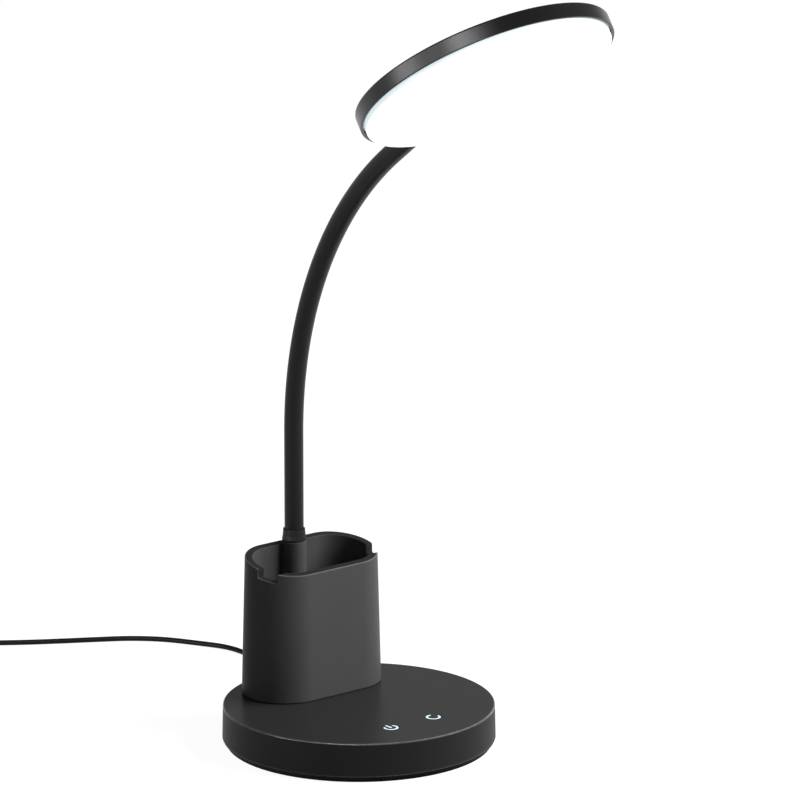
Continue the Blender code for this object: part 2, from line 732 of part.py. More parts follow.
def make_electronics():
    board = box(
        "control_board",
        (-BOARD_LENGTH / 2.0, BOARD_Y - BOARD_WIDTH / 2.0, BOARD_BOTTOM_Z),
        (BOARD_LENGTH / 2.0, BOARD_Y + BOARD_WIDTH / 2.0, BOARD_TOP_Z),
        "board_green",
    )
    holes = [
        (side * BOARD_BOSS_X, BOARD_BOSS_Y, BOARD_BOTTOM_Z - CUT_PAST, BOARD_TOP_Z + CUT_PAST, BOARD_SCREW_R + GAP)
        for side in (-1.0, 1.0)
    ]
    boolean(board, cylinders("board_holes", holes))
    for side, word in ((-1.0, "left"), (1.0, "right")):
        make_screw(
            "board_screw_" + word, (side * BOARD_BOSS_X, BOARD_BOSS_Y, BOARD_BOTTOM_Z - GAP), BOARD_SCREW_R,
            BOARD_SCREW_LENGTH, BOARD_SCREW_HEAD_R, BOARD_SCREW_HEAD_T,
        )
    for kind, x in (("power", -ICON_X), ("dimmer", ICON_X)):
        light = cylinders(
            kind + "_icon", [(x, ICON_Y, ICON_BACK_Z, PLATE_UNDER_Z - GAP, ICON_BACK_R)],
            24, PARTS, "icon_white",
        )
        strokes = icon_shapes(
            kind + "_strokes", kind, x, 0.0, ICON_BACK_Z + ICON_BACK_T / 2.0, BASE_TOP_Z, CUTTERS
        )
        boolean(light, strokes, "UNION")
        half = LED_SIDE / 2.0
        box(
            kind + "_icon_led",
            (x - half, ICON_Y - half, BOARD_TOP_Z + GAP),
            (x + half, ICON_Y + half, BOARD_TOP_Z + GAP + LED_T),
            "led_yellow",
        )


def cup_radius(z):
    """The cup's outer end radius at height z, less by its draft towards the rim."""
    return CUP_END_R - CUP_DRAFT * (z - CUP_Z) / CUP_FULL_H


def cup_ring(z, inset=0.0):
    return stadium(CUP_HALF_FLAT, cup_radius(z) - inset, z, CUP_SIDES)


def rim_height(y):
    """The height of the sloping rim over depth y."""
    return BASE_TOP_Z + CUP_FRONT_H + (y - CUP_FRONT_Y) * tan(CUP_RIM_SLOPE)


def make_pen_cup():
    over = CUP_Z + CUP_FULL_H + 4.0 * CUT_PAST
    cup = loft("pen_cup", [cup_ring(CUP_Z), cup_ring(over)], PARTS)
    coat(cup.data, "pen_cup", "satin_black")
    inside = loft("cup_inside", [cup_ring(CUP_FLOOR_Z, CUP_WALL), cup_ring(over + CUT_PAST, CUP_WALL)], CUTTERS)
    boolean(cup, inside)
    under = CUP_Z - CUT_PAST
    skirt = loft("cup_skirt", [cup_ring(under, CUP_WALL), cup_ring(CUP_Z + CUP_SKIRT_H, CUP_WALL)], CUTTERS)
    boolean(cup, skirt)
    half = Vector((1.0, 1.0, 0.5)) * (CUP_HALF_FLAT + 2.0 * CUP_END_R)
    slope = Matrix.Rotation(CUP_RIM_SLOPE, 4, "X")
    middle = Vector((0.0, CUP_Y, rim_height(CUP_Y))) + slope.to_3x3() @ Vector((0.0, 0.0, half.z))
    boolean(cup, box("rim_plane", middle - half, middle + half, None, CUTTERS, slope))
    notch_y = CUP_Y - NOTCH_FORWARD
    notch_floor = rim_height(notch_y) - NOTCH_DEPTH
    wall_x = CUP_HALF_FLAT + CUP_END_R
    rising = Matrix.Identity(4)
    rising[2][1] = tan(CUP_RIM_SLOPE)
    for side, word in ((-1.0, "left"), (1.0, "right")):
        size = Vector((CUP_END_R * 0.75, NOTCH_WIDTH / 2.0, NOTCH_DEPTH))
        at = Vector((side * wall_x, notch_y, notch_floor + size.z))
        boolean(cup, box("notch_" + word, at - size, at + size, None, CUTTERS, rising))
    column_low = CUP_Z + CUP_SKIRT_H + CUP_FLOOR_T / 2.0
    column = cylinders("cup_column", [(0.0, NECK_Y, column_low, COLUMN_TOP_Z, COLUMN_R)], 20)
    boolean(cup, column, "UNION")
    bosses = [
        (side * CUP_SCREW_X, CUP_Y, CUP_Z, CUP_Z + CUP_SKIRT_H + CUP_FLOOR_T / 2.0, CUP_BOSS_R) for side in (-1.0, 1.0)
    ]
    bosses.append((0.0, NECK_Y, CUP_Z, CUP_Z + CUP_SKIRT_H + CUP_FLOOR_T / 2.0, COLUMN_R - GAP))
    boolean(cup, cylinders("cup_bosses", bosses, 16), "UNION")
    bores = [(0.0, NECK_Y, CUP_Z - CUT_PAST, COLUMN_TOP_Z + CUT_PAST, ROOT_ROD_R + GAP)]
    bores += [
        (side * CUP_SCREW_X, CUP_Y, CUP_Z - CUT_PAST, PLATE_UNDER_Z + CUP_SCREW_LENGTH, BASE_SCREW_R + GAP)
        for side in (-1.0, 1.0)
    ]
    boolean(cup, cylinders("cup_bores", bores, 16))
    socket = [
        (0.0, NECK_Y, COLUMN_TOP_Z - COLUMN_SOCKET_DEPTH, COLUMN_TOP_Z + CUT_PAST, SLEEVE_R_FOOT + GAP),
    ]
    boolean(cup, cylinders("cup_socket", socket, SLEEVE_SIDES))
    for side, word in ((-1.0, "left"), (1.0, "right")):
        make_screw(
            "cup_screw_" + word, (side * CUP_SCREW_X, CUP_Y, PLATE_UNDER_Z - GAP), BASE_SCREW_R,
            CUP_SCREW_LENGTH, BASE_SCREW_HEAD_R, BASE_SCREW_HEAD_T,
        )
    return cup


def arc_points(radius, start_deg, end_deg, middle, count):
    """Profile points (radius, height) on a circle about a point of the axis, angles up from the horizontal."""
    return [
        (
            radius * cos(radians(start_deg + (end_deg - start_deg) * i / count)),
            middle + radius * sin(radians(start_deg + (end_deg - start_deg) * i / count)),
        )
        for i in range(count + 1)
    ]


def ball_top(station):
    """Outer profile of a link's upper end, from the bore's mouth down to the shoulder."""
    mouth = degrees(pi / 2.0 - LINK_BORE_R / LINK_BALL_R)
    foot = -degrees(pi / 2.0 - LINK_NECK_R / LINK_BALL_R * 1.08)
    points = arc_points(LINK_BALL_R, mouth, foot, station, 6)
    shoulder = station - LINK_SHOULDER
    return [(LINK_BORE_R, points[0][1]), *points[1:], (LINK_NECK_R, shoulder), (LINK_R, shoulder)]


def socket_bottom(station):
    """Profile of a link's lower end, from its outer lip up to the bore."""
    lip = -LINK_LIP_DEG
    top = degrees(pi / 2.0 - LINK_BORE_R / LINK_SOCKET_R)
    points = arc_points(LINK_SOCKET_R, lip, top, station, 5)
    return [(LINK_R, points[0][1]), *points[:-1], (LINK_BORE_R, points[-1][1])]


def rings_between(low, high, step=LINK_RING_STEP):
    """Evenly spaced heights strictly between two, from high to low, so that a link can bend."""
    count = max(1, round((high - low) / step))
    return [high - (high - low) * i / count for i in range(1, count)]


def make_neck():
    links = []
    root_shoulder = COLUMN_TOP_Z - COLUMN_SOCKET_DEPTH
    root_low = ROOT_BOTTOM_Z - COLUMN_TOP_Z
    root = ball_top(STATIONS[0]) + [
        (LINK_R, root_shoulder - COLUMN_TOP_Z),
        (ROOT_ROD_R, root_shoulder - COLUMN_TOP_Z),
        (ROOT_ROD_R, root_low),
        (LINK_BORE_R, root_low),
    ]
    links.append(along_neck(turned("neck_root", root, "plated_steel", LINK_SIDES)))
    for number, (low, high) in enumerate(zip(STATIONS, STATIONS[1:]), 1):
        middle = rings_between(low, high - LINK_SHOULDER)
        profile = ball_top(high) + [(LINK_R, z) for z in middle] + socket_bottom(low)
        profile += [(LINK_BORE_R, z) for z in reversed(middle)]
        links.append(along_neck(turned("neck_link_%d" % number, profile, "plated_steel", LINK_SIDES)))
    rim = NECK_TO_RIM
    end = rim + FERRULE_LENGTH
    groove = rim + FERRULE_GROOVE_IN
    middle = rings_between(STATIONS[-1], rim)
    profile = [
        (LINK_BORE_R, end),
        (FERRULE_R, end),
        (FERRULE_R, groove + FERRULE_GROOVE_T),
        (FERRULE_GROOVE_R, groove + FERRULE_GROOVE_T),
        (FERRULE_GROOVE_R, groove),
        (FERRULE_R, groove),
        (FERRULE_R, rim),
        (LINK_R, rim),
    ]
    profile += [(LINK_R, z) for z in middle] + socket_bottom(STATIONS[-1])
    profile += [(LINK_BORE_R, z) for z in reversed(middle)]
    links.append(along_neck(turned("neck_end_ferrule", profile, "plated_steel", LINK_SIDES)))
    for link in links:
        smooth(link)
    make_sleeve()
    make_neck_cable()
    make_neck_fixing()


def sleeve_radius(s):
    """The sleeve's outer radius: slightly waisted, and wider at the head."""
    top = NECK_TO_RIM - GAP
    t = (s + SLEEVE_DOWN) / (top + SLEEVE_DOWN)
    if t < 0.45:
        k = t / 0.45
        return SLEEVE_R_FOOT + (SLEEVE_R_WAIST - SLEEVE_R_FOOT) * k * k * (3.0 - 2.0 * k)
    k = min(1.0, (t - 0.45) / 0.45)
    return SLEEVE_R_WAIST + (SLEEVE_R_HEAD - SLEEVE_R_WAIST) * k * k * (3.0 - 2.0 * k)


def make_sleeve():
    top = NECK_TO_RIM - GAP
    straight = [-SLEEVE_DOWN, NECK_STRAIGHT / 2.0]
    count = round((top - NECK_STRAIGHT) / (12.0 * MM))
    heights = straight + [NECK_STRAIGHT + (top - NECK_STRAIGHT) * i / count for i in range(count + 1)]
    profile = [(sleeve_radius(s), s) for s in reversed(heights)] + [(SLEEVE_BORE_R, s) for s in heights]
    smooth(along_neck(turned("neck_sleeve", profile, "soft_black", SLEEVE_SIDES)))


def make_neck_cable():
    """The two-wire cable from the board, up the neck's bore and out into the head."""
    edge = BOARD_Y + BOARD_WIDTH / 2.0 + GAP
    lane_z = WEIGHT_TOP_Z + CABLE_R + GAP
    board_z = BOARD_BOTTOM_Z + BOARD_T / 2.0
    inside = [
        Vector((CABLE_LANE_X, edge, board_z)),
        Vector((CABLE_LANE_X * 0.95, edge + (NECK_Y - edge) * 0.1, (board_z + lane_z) / 2.0)),
        Vector((CABLE_LANE_X * 0.5, edge + (NECK_Y - edge) * 0.35, lane_z)),
        Vector((CABLE_LANE_X * 0.1, edge + (NECK_Y - edge) * 0.7, lane_z)),
        Vector((0.0, NECK_Y - 4.0 * CABLE_R, lane_z)),
    ]
    points = smooth_route(inside, 6.0 * CABLE_R)
    points += [
        Vector((0.0, NECK_Y - 2.0 * CABLE_R, lane_z + 0.25 * CABLE_R)),
        Vector((0.0, NECK_Y - 0.5 * CABLE_R, lane_z + 1.3 * CABLE_R)),
    ]
    points += [Vector((0.0, NECK_Y, z)) for z in (ROOT_BOTTOM_Z + GAP, COLUMN_TOP_Z + NECK_STRAIGHT / 2.0)]
    count = 18
    points += [neck_point(NECK_STRAIGHT + NECK_ARC * i / count) for i in range(count + 1)]
    points.append(neck_point(cable_end()))
    tube("neck_cable", points, CABLE_R, "cord_black", 1)


def cable_end():
    """How far along the neck's line the cable reaches its connector in the head."""
    return NECK_TO_RIM + FERRULE_LENGTH + CABLE_TAIL


def make_neck_fixing():
    bore = ROOT_ROD_R + GAP
    top = WASHER_Z + WASHER_T
    turned(
        "neck_washer", [(bore, top), (WASHER_R, top), (WASHER_R, WASHER_Z), (bore, WASHER_Z)], "plated_steel", 24
    ).location = (0.0, NECK_Y, 0.0)
    corner_r = NUT_FLATS / 2.0 / cos(pi / 6.0)
    nut = cylinders("neck_nut", [(0.0, NECK_Y, NUT_Z, NUT_Z + NUT_T, corner_r)], 6, PARTS, "plated_steel")
    boolean(nut, cylinders("nut_bore", [(0.0, NECK_Y, NUT_Z - CUT_PAST, NUT_Z + NUT_T + CUT_PAST, bore)], 16))
    boot_z = COLUMN_TOP_Z + GAP
    bore = SLEEVE_R_FOOT + GAP
    turned(
        "neck_boot",
        [
            (bore, boot_z + BOOT_H),
            (BOOT_R_TIP, boot_z + BOOT_H),
            (BOOT_R_TIP + 0.4 * (BOOT_R_FOOT - BOOT_R_TIP), boot_z + BOOT_H * 0.45),
            (BOOT_R_FOOT, boot_z + BOOT_H * 0.15),
            (BOOT_R_FOOT, boot_z),
            (bore, boot_z),
        ],
        "soft_black", 24,
    ).location = (0.0, NECK_Y, 0.0)


def head_top(radius):
    """The height of the head's domed back over a radius."""
    return HEAD_WALL_H + HEAD_DOME * (1.0 - (radius / HEAD_R) ** 2)


def head_places(radius, angles):
    return [(radius * cos(radians(a)), radius * sin(radians(a))) for a in angles]


def lying_cylinder(name, radius, low_y, high_y, height, sides=ROUND_SMALL):
    """A cutter cylinder along the head's Y axis at a height."""
    length = high_y - low_y
    made = turned(name, [(0.0, length), (radius, length), (radius, 0.0), (0.0, 0.0)], None, sides, CUTTERS)
    made.rotation_euler = (radians(-90.0), 0.0, 0.0)
    made.location = (0.0, low_y, height)
    return on_head(made)


def make_head_housing():
    inner_r = HEAD_R - HEAD_WALL
    tops = [0.0, HEAD_R / 3.0, HEAD_R * 2.0 / 3.0, HEAD_R * 0.9]
    profile = [(r, head_top(r)) for r in tops]
    profile += [
        (HEAD_R - HEAD_EDGE, HEAD_WALL_H),
        (HEAD_R, HEAD_WALL_H - HEAD_EDGE),
        (HEAD_R, 0.0),
        (inner_r, 0.0),
        (inner_r, HEAD_WALL_H - HEAD_SKIN),
    ]
    profile += [(r, head_top(r) - HEAD_SKIN) for r in reversed(tops)]
    housing = on_head(turned("head_housing", profile, "satin_black"))
    hump_in = HEAD_R - HUMP_LENGTH
    hump = lying_cylinder("hump_run", HUMP_R, hump_in, HEAD_R - GAP, NECK_AXIS_H, 24)
    wide = HUMP_R + CUT_PAST
    under = box(
        "hump_under", (-wide, hump_in - CUT_PAST, NECK_AXIS_H - wide),
        (wide, HEAD_R + CUT_PAST, HEAD_WALL_H - HEAD_SKIN / 2.0), None, CUTTERS,
    )
    boolean(hump, on_head(under))
    boolean(housing, hump, "UNION")
    boss_top = HEAD_WALL_H - HEAD_SKIN / 2.0
    boss_low = retainer_z() + RETAINER_T + GAP
    places = head_places(RETAINER_BOSS_RING_R, RETAINER_SCREW_ANGLES)
    boolean(
        housing,
        on_head(cylinders("head_bosses", [(x, y, boss_low, boss_top, RETAINER_BOSS_R) for x, y in places])),
        "UNION",
    )
    holes = [
        (x, y, boss_low - CUT_PAST, retainer_z() + RETAINER_SCREW_LENGTH + 2.0 * GAP, RETAINER_SCREW_R + GAP)
        for x, y in places
    ]
    boolean(housing, on_head(cylinders("head_boss_holes", holes)))
    channel = lying_cylinder(
        "ferrule_channel", LINK_R + GAP, hump_in + HEAD_SKIN, HEAD_R + CUT_PAST, NECK_AXIS_H, 16
    )
    boolean(housing, channel)
    return housing


def stack_z():
    """The height of the light guide's lower face, above the diffuser."""
    return -DIFFUSER_PROUD + DIFFUSER_T + GAP


def retainer_z():
    """The height of the retainer plate's lower face."""
    return stack_z() + GUIDE_T + GAP + REFLECTOR_T + GAP


def disc(name, radius, low, thick, finish, sides=48):
    top = low + thick
    return on_head(turned(name, [(0.0, top), (radius, top), (radius, low), (0.0, low)], finish, sides))


def make_head_layers():
    inner_r = HEAD_R - HEAD_WALL
    outer = inner_r - GAP
    skirt_in = outer - DIFFUSER_SKIRT_T
    low = -DIFFUSER_PROUD
    edge = DIFFUSER_EDGE
    diffuser = [
        (0.0, low + DIFFUSER_T),
        (skirt_in, low + DIFFUSER_T),
        (skirt_in, low + DIFFUSER_SKIRT_H),
        (outer, low + DIFFUSER_SKIRT_H),
        (outer, low + edge),
        (outer - edge * 0.3, low + edge * 0.3),
        (outer - edge, low),
        (0.0, low),
    ]
    on_head(turned("diffuser", diffuser, "milky_white"))
    strip_out = skirt_in - GAP
    strip_in = strip_out - STRIP_T
    high = stack_z() + GUIDE_T
    on_head(
        turned(
            "led_strip",
            [(strip_in, high), (strip_out, high), (strip_out, stack_z()), (strip_in, stack_z())],
            "led_yellow", 48,
        )
    )
    disc("light_guide", strip_in - GAP, stack_z(), GUIDE_T, "clear_guide")
    disc("reflector_sheet", strip_out, high + GAP, REFLECTOR_T, "sheet_white")
    low = retainer_z()
    retainer = disc("retainer_plate", inner_r - GAP, low, RETAINER_T, "sheet_white")
    places = head_places(RETAINER_BOSS_RING_R, RETAINER_SCREW_ANGLES)
    sink = RETAINER_SCREW_HEAD_T
    half = CLIP_WIDTH / 2.0 + 2.0 * GAP
    slot = (
        (-half, HEAD_R - HEAD_WALL - FERRULE_LENGTH, low - CUT_PAST),
        (half, HEAD_R + CUT_PAST, low + RETAINER_T + CUT_PAST),
    )
    holes = stepped_holes(
        "retainer_holes", places, RETAINER_SCREW_R + GAP, RETAINER_SCREW_HEAD_R + GAP,
        low - CUT_PAST, low + sink, low + RETAINER_T + CUT_PAST, slot,
    )
    boolean(retainer, on_head(holes))
    for number, (x, y) in enumerate(places, 1):
        at = (x, y, low + sink - GAP)
        on_head(
            make_screw(
                "retainer_screw_%d" % number, at, RETAINER_SCREW_R, RETAINER_SCREW_LENGTH,
                RETAINER_SCREW_HEAD_R, RETAINER_SCREW_HEAD_T - GAP,
            )
        )


def make_head_joint():
    """The clip that holds the ferrule, and the connector where the cable ends."""
    clip_y = HEAD_R - FERRULE_GROOVE_IN - FERRULE_GROOVE_T / 2.0
    clip = on_head(
        box(
            "neck_clip",
            (-CLIP_WIDTH / 2.0, clip_y - CLIP_T / 2.0, retainer_z()),
            (CLIP_WIDTH / 2.0, clip_y + CLIP_T / 2.0, HEAD_WALL_H - HEAD_SKIN - GAP),
            "plated_steel",
        )
    )
    slot_r = FERRULE_GROOVE_R + GAP
    boolean(clip, lying_cylinder("clip_round", slot_r, clip_y - CUT_PAST, clip_y + CUT_PAST, NECK_AXIS_H, 16))
    mouth = box(
        "clip_mouth", (-slot_r, clip_y - CUT_PAST, NECK_AXIS_H),
        (slot_r, clip_y + CUT_PAST, HEAD_WALL_H + CUT_PAST), None, CUTTERS,
    )
    boolean(clip, on_head(mouth))
    width, depth, height = CONNECTOR_SIZE
    face = HEAD_R - FERRULE_LENGTH - CABLE_TAIL - GAP
    floor = retainer_z() + RETAINER_T + GAP
    on_head(
        box("led_connector", (-width / 2.0, face - depth, floor), (width / 2.0, face, floor + height), "connector_white")
    )


def make_strain_relief():
    outside = BASE_FOOT_R + GAP
    inside = BASE_INNER_R - BASE_DRAFT - GAP
    profile = [
        (0.0, BASE_FOOT_R + RELIEF_LENGTH),
        (RELIEF_R_TIP, BASE_FOOT_R + RELIEF_LENGTH),
        (RELIEF_R_ROOT, outside + RELIEF_COLLAR),
        (RELIEF_R_ROOT, outside),
        (RELIEF_NECK_R, outside),
        (RELIEF_NECK_R, inside),
        (RELIEF_FLANGE_R, inside),
        (RELIEF_FLANGE_R, inside - RELIEF_FLANGE_T),
        (0.0, inside - RELIEF_FLANGE_T),
    ]
    relief = turned("strain_relief", profile, "soft_black", 16)
    relief.location = (0.0, 0.0, RELIEF_Z)
    relief.rotation_euler = (radians(-90.0), 0.0, 0.0)
    inner_end = inside - RELIEF_FLANGE_T - GAP
    board_edge = BOARD_Y + BOARD_WIDTH / 2.0 + GAP
    board_z = BOARD_BOTTOM_Z + BOARD_T / 2.0
    lane_z = WEIGHT_TOP_Z + CORD_R + 2.0 * GAP
    beside = WASHER_R + 2.0 * CORD_R
    start = Vector((0.0, inner_end, RELIEF_Z))
    lead = [
        Vector((0.0, inner_end - CORD_R, RELIEF_Z)),
        Vector((beside * 0.28, inner_end - 3.5 * CORD_R, RELIEF_Z + (lane_z - RELIEF_Z) * 0.25)),
        Vector((beside, NECK_Y + CORD_R, lane_z)),
        Vector((LEAD_LANE_X * 0.95, NECK_Y - 8.0 * CORD_R, lane_z)),
        Vector((LEAD_LANE_X, NECK_Y - 30.0 * CORD_R, lane_z)),
        Vector((LEAD_LANE_X, board_edge + 6.0 * CORD_R, (lane_z + board_z) / 2.0)),
        Vector((LEAD_LANE_X, board_edge, board_z)),
    ]
    tube("cord_inner_lead", [start] + smooth_route(lead, 3.6 * CORD_R), CORD_R, "cord_black", 1)


def coil_turns():
    return COIL_FULL_TURNS + ((COIL_END_DEG - COIL_START_DEG) % 360.0) / 360.0


def eased(t):
    t = max(0.0, min(1.0, t))
    return t * t * (3.0 - 2.0 * t)


def coil_points():
    """Loops that spiral in on the first layer and out again on the next, climbing where they turn back."""
    turns = coil_turns()
    per_layer = turns / COIL_LAYERS
    width = COIL_STEP * per_layer
    count = round(turns * COIL_POINTS_A_TURN)
    points = []
    for i in range(count + 1):
        turn = turns * i / count
        layer = min(int(turn / per_layer), COIL_LAYERS - 1)
        share = turn / per_layer - layer
        inward = share if layer % 2 == 0 else 1.0 - share
        radius = COIL_MEAN_R + width / 2.0 - width * inward
        climb = sum(eased((turn - per_layer * k) * 2.0 + 0.5) for k in range(1, COIL_LAYERS))
        angle = radians(COIL_START_DEG) + 2.0 * pi * turn
        z = CORD_REST_Z + COIL_LIFT + COIL_STEP * climb
        points.append(Vector((COIL_X + radius * cos(angle), COIL_Y + radius * sin(angle), z)))
    straight = 2.0 * CORD_R
    first = points[0] + (points[0] - points[1]).normalized() * straight
    last = points[-1] + (points[-1] - points[-2]).normalized() * straight
    return [first, *points, last]


def least_self_gap(points, radius):
    """The least gap between turns of a tube: stretches over half a turn apart along it."""
    apart = COIL_POINTS_A_TURN // 2
    least = 1.0
    for i, a in enumerate(points):
        for j in range(i + apart, len(points) - 1):
            b, c = points[j], points[j + 1]
            t = max(0.0, min(1.0, (a - b).dot(c - b) / (c - b).length_squared))
            least = min(least, (a - b.lerp(c, t)).length)
    return least - 2.0 * radius


def make_cord():
    coil = coil_points()
    into = (coil[0] - coil[1]).normalized()
    start = Vector((0.0, BASE_FOOT_R + RELIEF_LENGTH + GAP, RELIEF_Z))
    route = [start] + [Vector(point) * MM for point in CORD_ROUTE] + [coil[0] + into * GAP]
    free = smooth_route(route, 4.3 * CORD_R)
    free[-2] = free[-1] + into * 2.0 * CORD_R
    tube("power_cord", free, CORD_R, "cord_black", 2)
    tube("power_cord_coil", coil, CORD_R, "cord_black", 1)
    gap = least_self_gap(coil, CORD_R)
    print("least gap between the coil's turns: %.2f mm" % (gap / MM))
    out = (coil[-1] - coil[-2]).normalized()
    plug_z = PLUG_HEIGHT / 2.0 + PLUG_OFF_TABLE
    tail_start = coil[-1] + out * GAP
    tail_end = coil[-1] + Vector((out.x, out.y, 0.0)).normalized() * TAIL_RUN
    tail_end.z = plug_z
    ahead = Vector((out.x, out.y, 0.0)).normalized()
    tail = [tail_start, tail_start + out * 2.0 * CORD_R, tail_end - ahead * 3.0 * CORD_R, tail_end]
    tail_points = smooth_route(tail, 2.5 * CORD_R)
    tube("power_cord_tail", tail_points, CORD_R, "cord_black", 2)
    total = route_length(free) + route_length(coil) + route_length(tail_points)
    print("cord: %.3f m long, %.3f m of it in the coil" % (total, route_length(coil)))
    make_plug(tail_end, ahead)
    make_tie()


def make_plug(at, ahead):
    """A moulded plug with its metal shell, in line with the cord's end."""
    frame = Matrix.Translation(at) @ Matrix.Rotation(atan2(ahead.y, ahead.x) - pi / 2.0, 4, "Z")
    half_w = PLUG_WIDTH / 2.0
    half_h = PLUG_HEIGHT / 2.0
    neck_end = GAP + PLUG_NECK_LENGTH
    body_end = neck_end + PLUG_LENGTH

    def ring(width, height, y, corner):
        points = []
        for cx, cz, start in ((1, 1, 0), (-1, 1, 90), (-1, -1, 180), (1, -1, 270)):
            for k in range(3):
                angle = radians(start + 45 * k)
                x = cx * (width - corner) + corner * cos(angle)
                z = cz * (height - corner) + corner * sin(angle)
                points.append(frame @ Vector((x, y, z)))
        return points

    neck_r = PLUG_NECK_R
    rings = [
        ring(neck_r, neck_r, GAP, neck_r * 0.9),
        ring(neck_r * 1.35, neck_r * 1.3, neck_end, neck_r),
        ring(half_w * 0.86, half_h * 0.9, neck_end + PLUG_SHOULDER * 0.1, PLUG_CORNER),
        ring(half_w, half_h, neck_end + PLUG_SHOULDER, PLUG_CORNER),
        ring(half_w, half_h, body_end, PLUG_CORNER),
    ]
    body = loft("usb_plug_body", rings, PARTS)
    coat(body.data, "usb_plug_body", "soft_black")
    shell_w = PLUG_SHELL_WIDTH / 2.0
    shell_h = PLUG_SHELL_HEIGHT / 2.0
    low = body_end + GAP
    shell = box("usb_plug_shell", (-shell_w, low, -shell_h), (shell_w, low + PLUG_SHELL_LENGTH, shell_h), "plated_steel")
    shell.matrix_world = frame
    wall = PLUG_SHELL_WALL
    hollow = box(
        "usb_shell_hollow", (-shell_w + wall, low + PLUG_SHELL_FLOOR, -shell_h + wall),
        (shell_w - wall, low + PLUG_SHELL_LENGTH + CUT_PAST, shell_h - wall - PLUG_TONGUE_H), None, CUTTERS,
    )
    hollow.matrix_world = frame
    boolean(shell, hollow)


def make_tie():
    """A flat band round the coil's bundle of turns."""
    turns = coil_turns() / COIL_LAYERS
    width = COIL_STEP * turns
    inner = COIL_MEAN_R - width / 2.0 - CORD_R - GAP
    outer = COIL_MEAN_R + width / 2.0 + CORD_R + GAP
    low = CORD_REST_Z + COIL_LIFT - CORD_R - TIE_FIT
    high = CORD_REST_Z + COIL_LIFT + COIL_STEP * (COIL_LAYERS - 1) + CORD_R + TIE_FIT
    turn = Matrix.Translation((COIL_X, COIL_Y, 0.0)) @ Matrix.Rotation(radians(TIE_AT_DEG), 4, "Z")
    band = box(
        "coil_tie", (inner - TIE_T, -TIE_WIDTH / 2.0, low - TIE_T), (outer + TIE_T, TIE_WIDTH / 2.0, high + TIE_T),
        "soft_black",
    )
    band.matrix_world = turn
    hollow = box(
        "tie_hollow", (inner, -TIE_WIDTH / 2.0 - CUT_PAST, low), (outer, TIE_WIDTH / 2.0 + CUT_PAST, high),
        None, CUTTERS,
    )
    hollow.matrix_world = turn
    boolean(band, hollow)


make_base_housing()
make_bottom()
make_electronics()
make_pen_cup()
make_neck()
make_head_housing()
make_head_layers()
make_head_joint()
make_strain_relief()
make_cord()
bpy.context.view_layer.update()
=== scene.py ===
from math import asin, atan2, cos, pi, radians, sin, tan

import bmesh
import bpy
from mathutils import Matrix, Vector


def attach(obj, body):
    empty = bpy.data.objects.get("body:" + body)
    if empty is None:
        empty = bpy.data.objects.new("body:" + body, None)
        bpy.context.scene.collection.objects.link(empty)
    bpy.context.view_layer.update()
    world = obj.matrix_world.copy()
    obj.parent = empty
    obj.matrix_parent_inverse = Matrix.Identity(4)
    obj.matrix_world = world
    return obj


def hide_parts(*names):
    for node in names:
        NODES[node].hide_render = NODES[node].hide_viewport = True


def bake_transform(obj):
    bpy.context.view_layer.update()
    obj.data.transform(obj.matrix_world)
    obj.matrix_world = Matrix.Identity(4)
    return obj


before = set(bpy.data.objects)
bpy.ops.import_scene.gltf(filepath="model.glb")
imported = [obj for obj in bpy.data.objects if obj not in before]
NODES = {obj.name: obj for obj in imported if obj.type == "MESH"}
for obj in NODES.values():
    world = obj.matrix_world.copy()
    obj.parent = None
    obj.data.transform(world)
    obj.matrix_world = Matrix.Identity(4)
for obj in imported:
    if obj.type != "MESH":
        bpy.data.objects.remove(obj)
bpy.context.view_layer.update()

MM = 0.001


def mm(*rows):
    """Rows of millimetres as rows of metres."""
    return [tuple(value * MM for value in row) for row in rows]


# Camera: its bearing and height angle, distance, framing offsets and focal length in photograph pixels
CAMERA_AZIMUTH = radians(-39.41)
CAMERA_PITCH = radians(15.03)
CAMERA_DISTANCE = 3.6
CAMERA_RIGHT = 0.0211
CAMERA_UP = 0.1756
FOCAL_PIXELS = 6988.0
FRAME_PIXELS = 800.0
SENSOR_WIDTH = 36.0

# The gap between neighbouring parts, and how far a cutting tool reaches past what it cuts
FIT = 0.3 * MM
PAST = 1.0 * MM

# Points this close are merged in a new mesh, after a cut and in a swept wall, and edges this short dropped
WELD = 0.001 * MM
CUT_WELD = 0.0015 * MM
WALL_WELD = 0.002 * MM
SLIVER = 0.0005 * MM

# Base. Corners of turned outlines are (radius, height, fillet), and the grooves' radii are in millimetres.
BASE_TOP_R = 70.0 * MM
BASE_FOOT_R = 70.4 * MM
BASE_TOP_Z = 20.7 * MM
BASE_BOTTOM_Z = 2.4 * MM
BASE_STEP = 0.35 * MM
BASE_STEP_Z = 3.2 * MM
BASE_WALL = 2.0 * MM
PLATE_UNDER_Z = 18.5 * MM
SCREW_RING_R = 58.0 * MM
SCREW_ANGLES = (25.0, 155.0, 215.0, 325.0)
SCREW_PLACES = [(SCREW_RING_R * cos(radians(a)), SCREW_RING_R * sin(radians(a))) for a in SCREW_ANGLES]
SCREW_BORE_R = 1.75 * MM
SCREW_BORE_Z = (2.0 * MM, 15.1 * MM)
BOSS_R = 4.0 * MM
BOARD_PLACES = mm((-23.0, -27.0), (23.0, -27.0))
BOARD_TOP_Z = 13.6 * MM
BOARD_BOSS_R = 3.0 * MM
BOARD_BORE_R = 1.3 * MM
BOARD_BORE_H = 4.0 * MM
CORD_HOLE = mm((0.0, -4.0), (3.1, -4.0), (3.1, 4.0), (0.0, 4.0))
COVER_TOP_Z = 4.1 * MM
COVER = mm((0.0, 4.1), (67.9, 4.1, 0.2), (67.9, 2.1, 0.1), (69.2, 2.1, 0.15), (69.2, 1.5, 0.2), (0.0, 1.5))
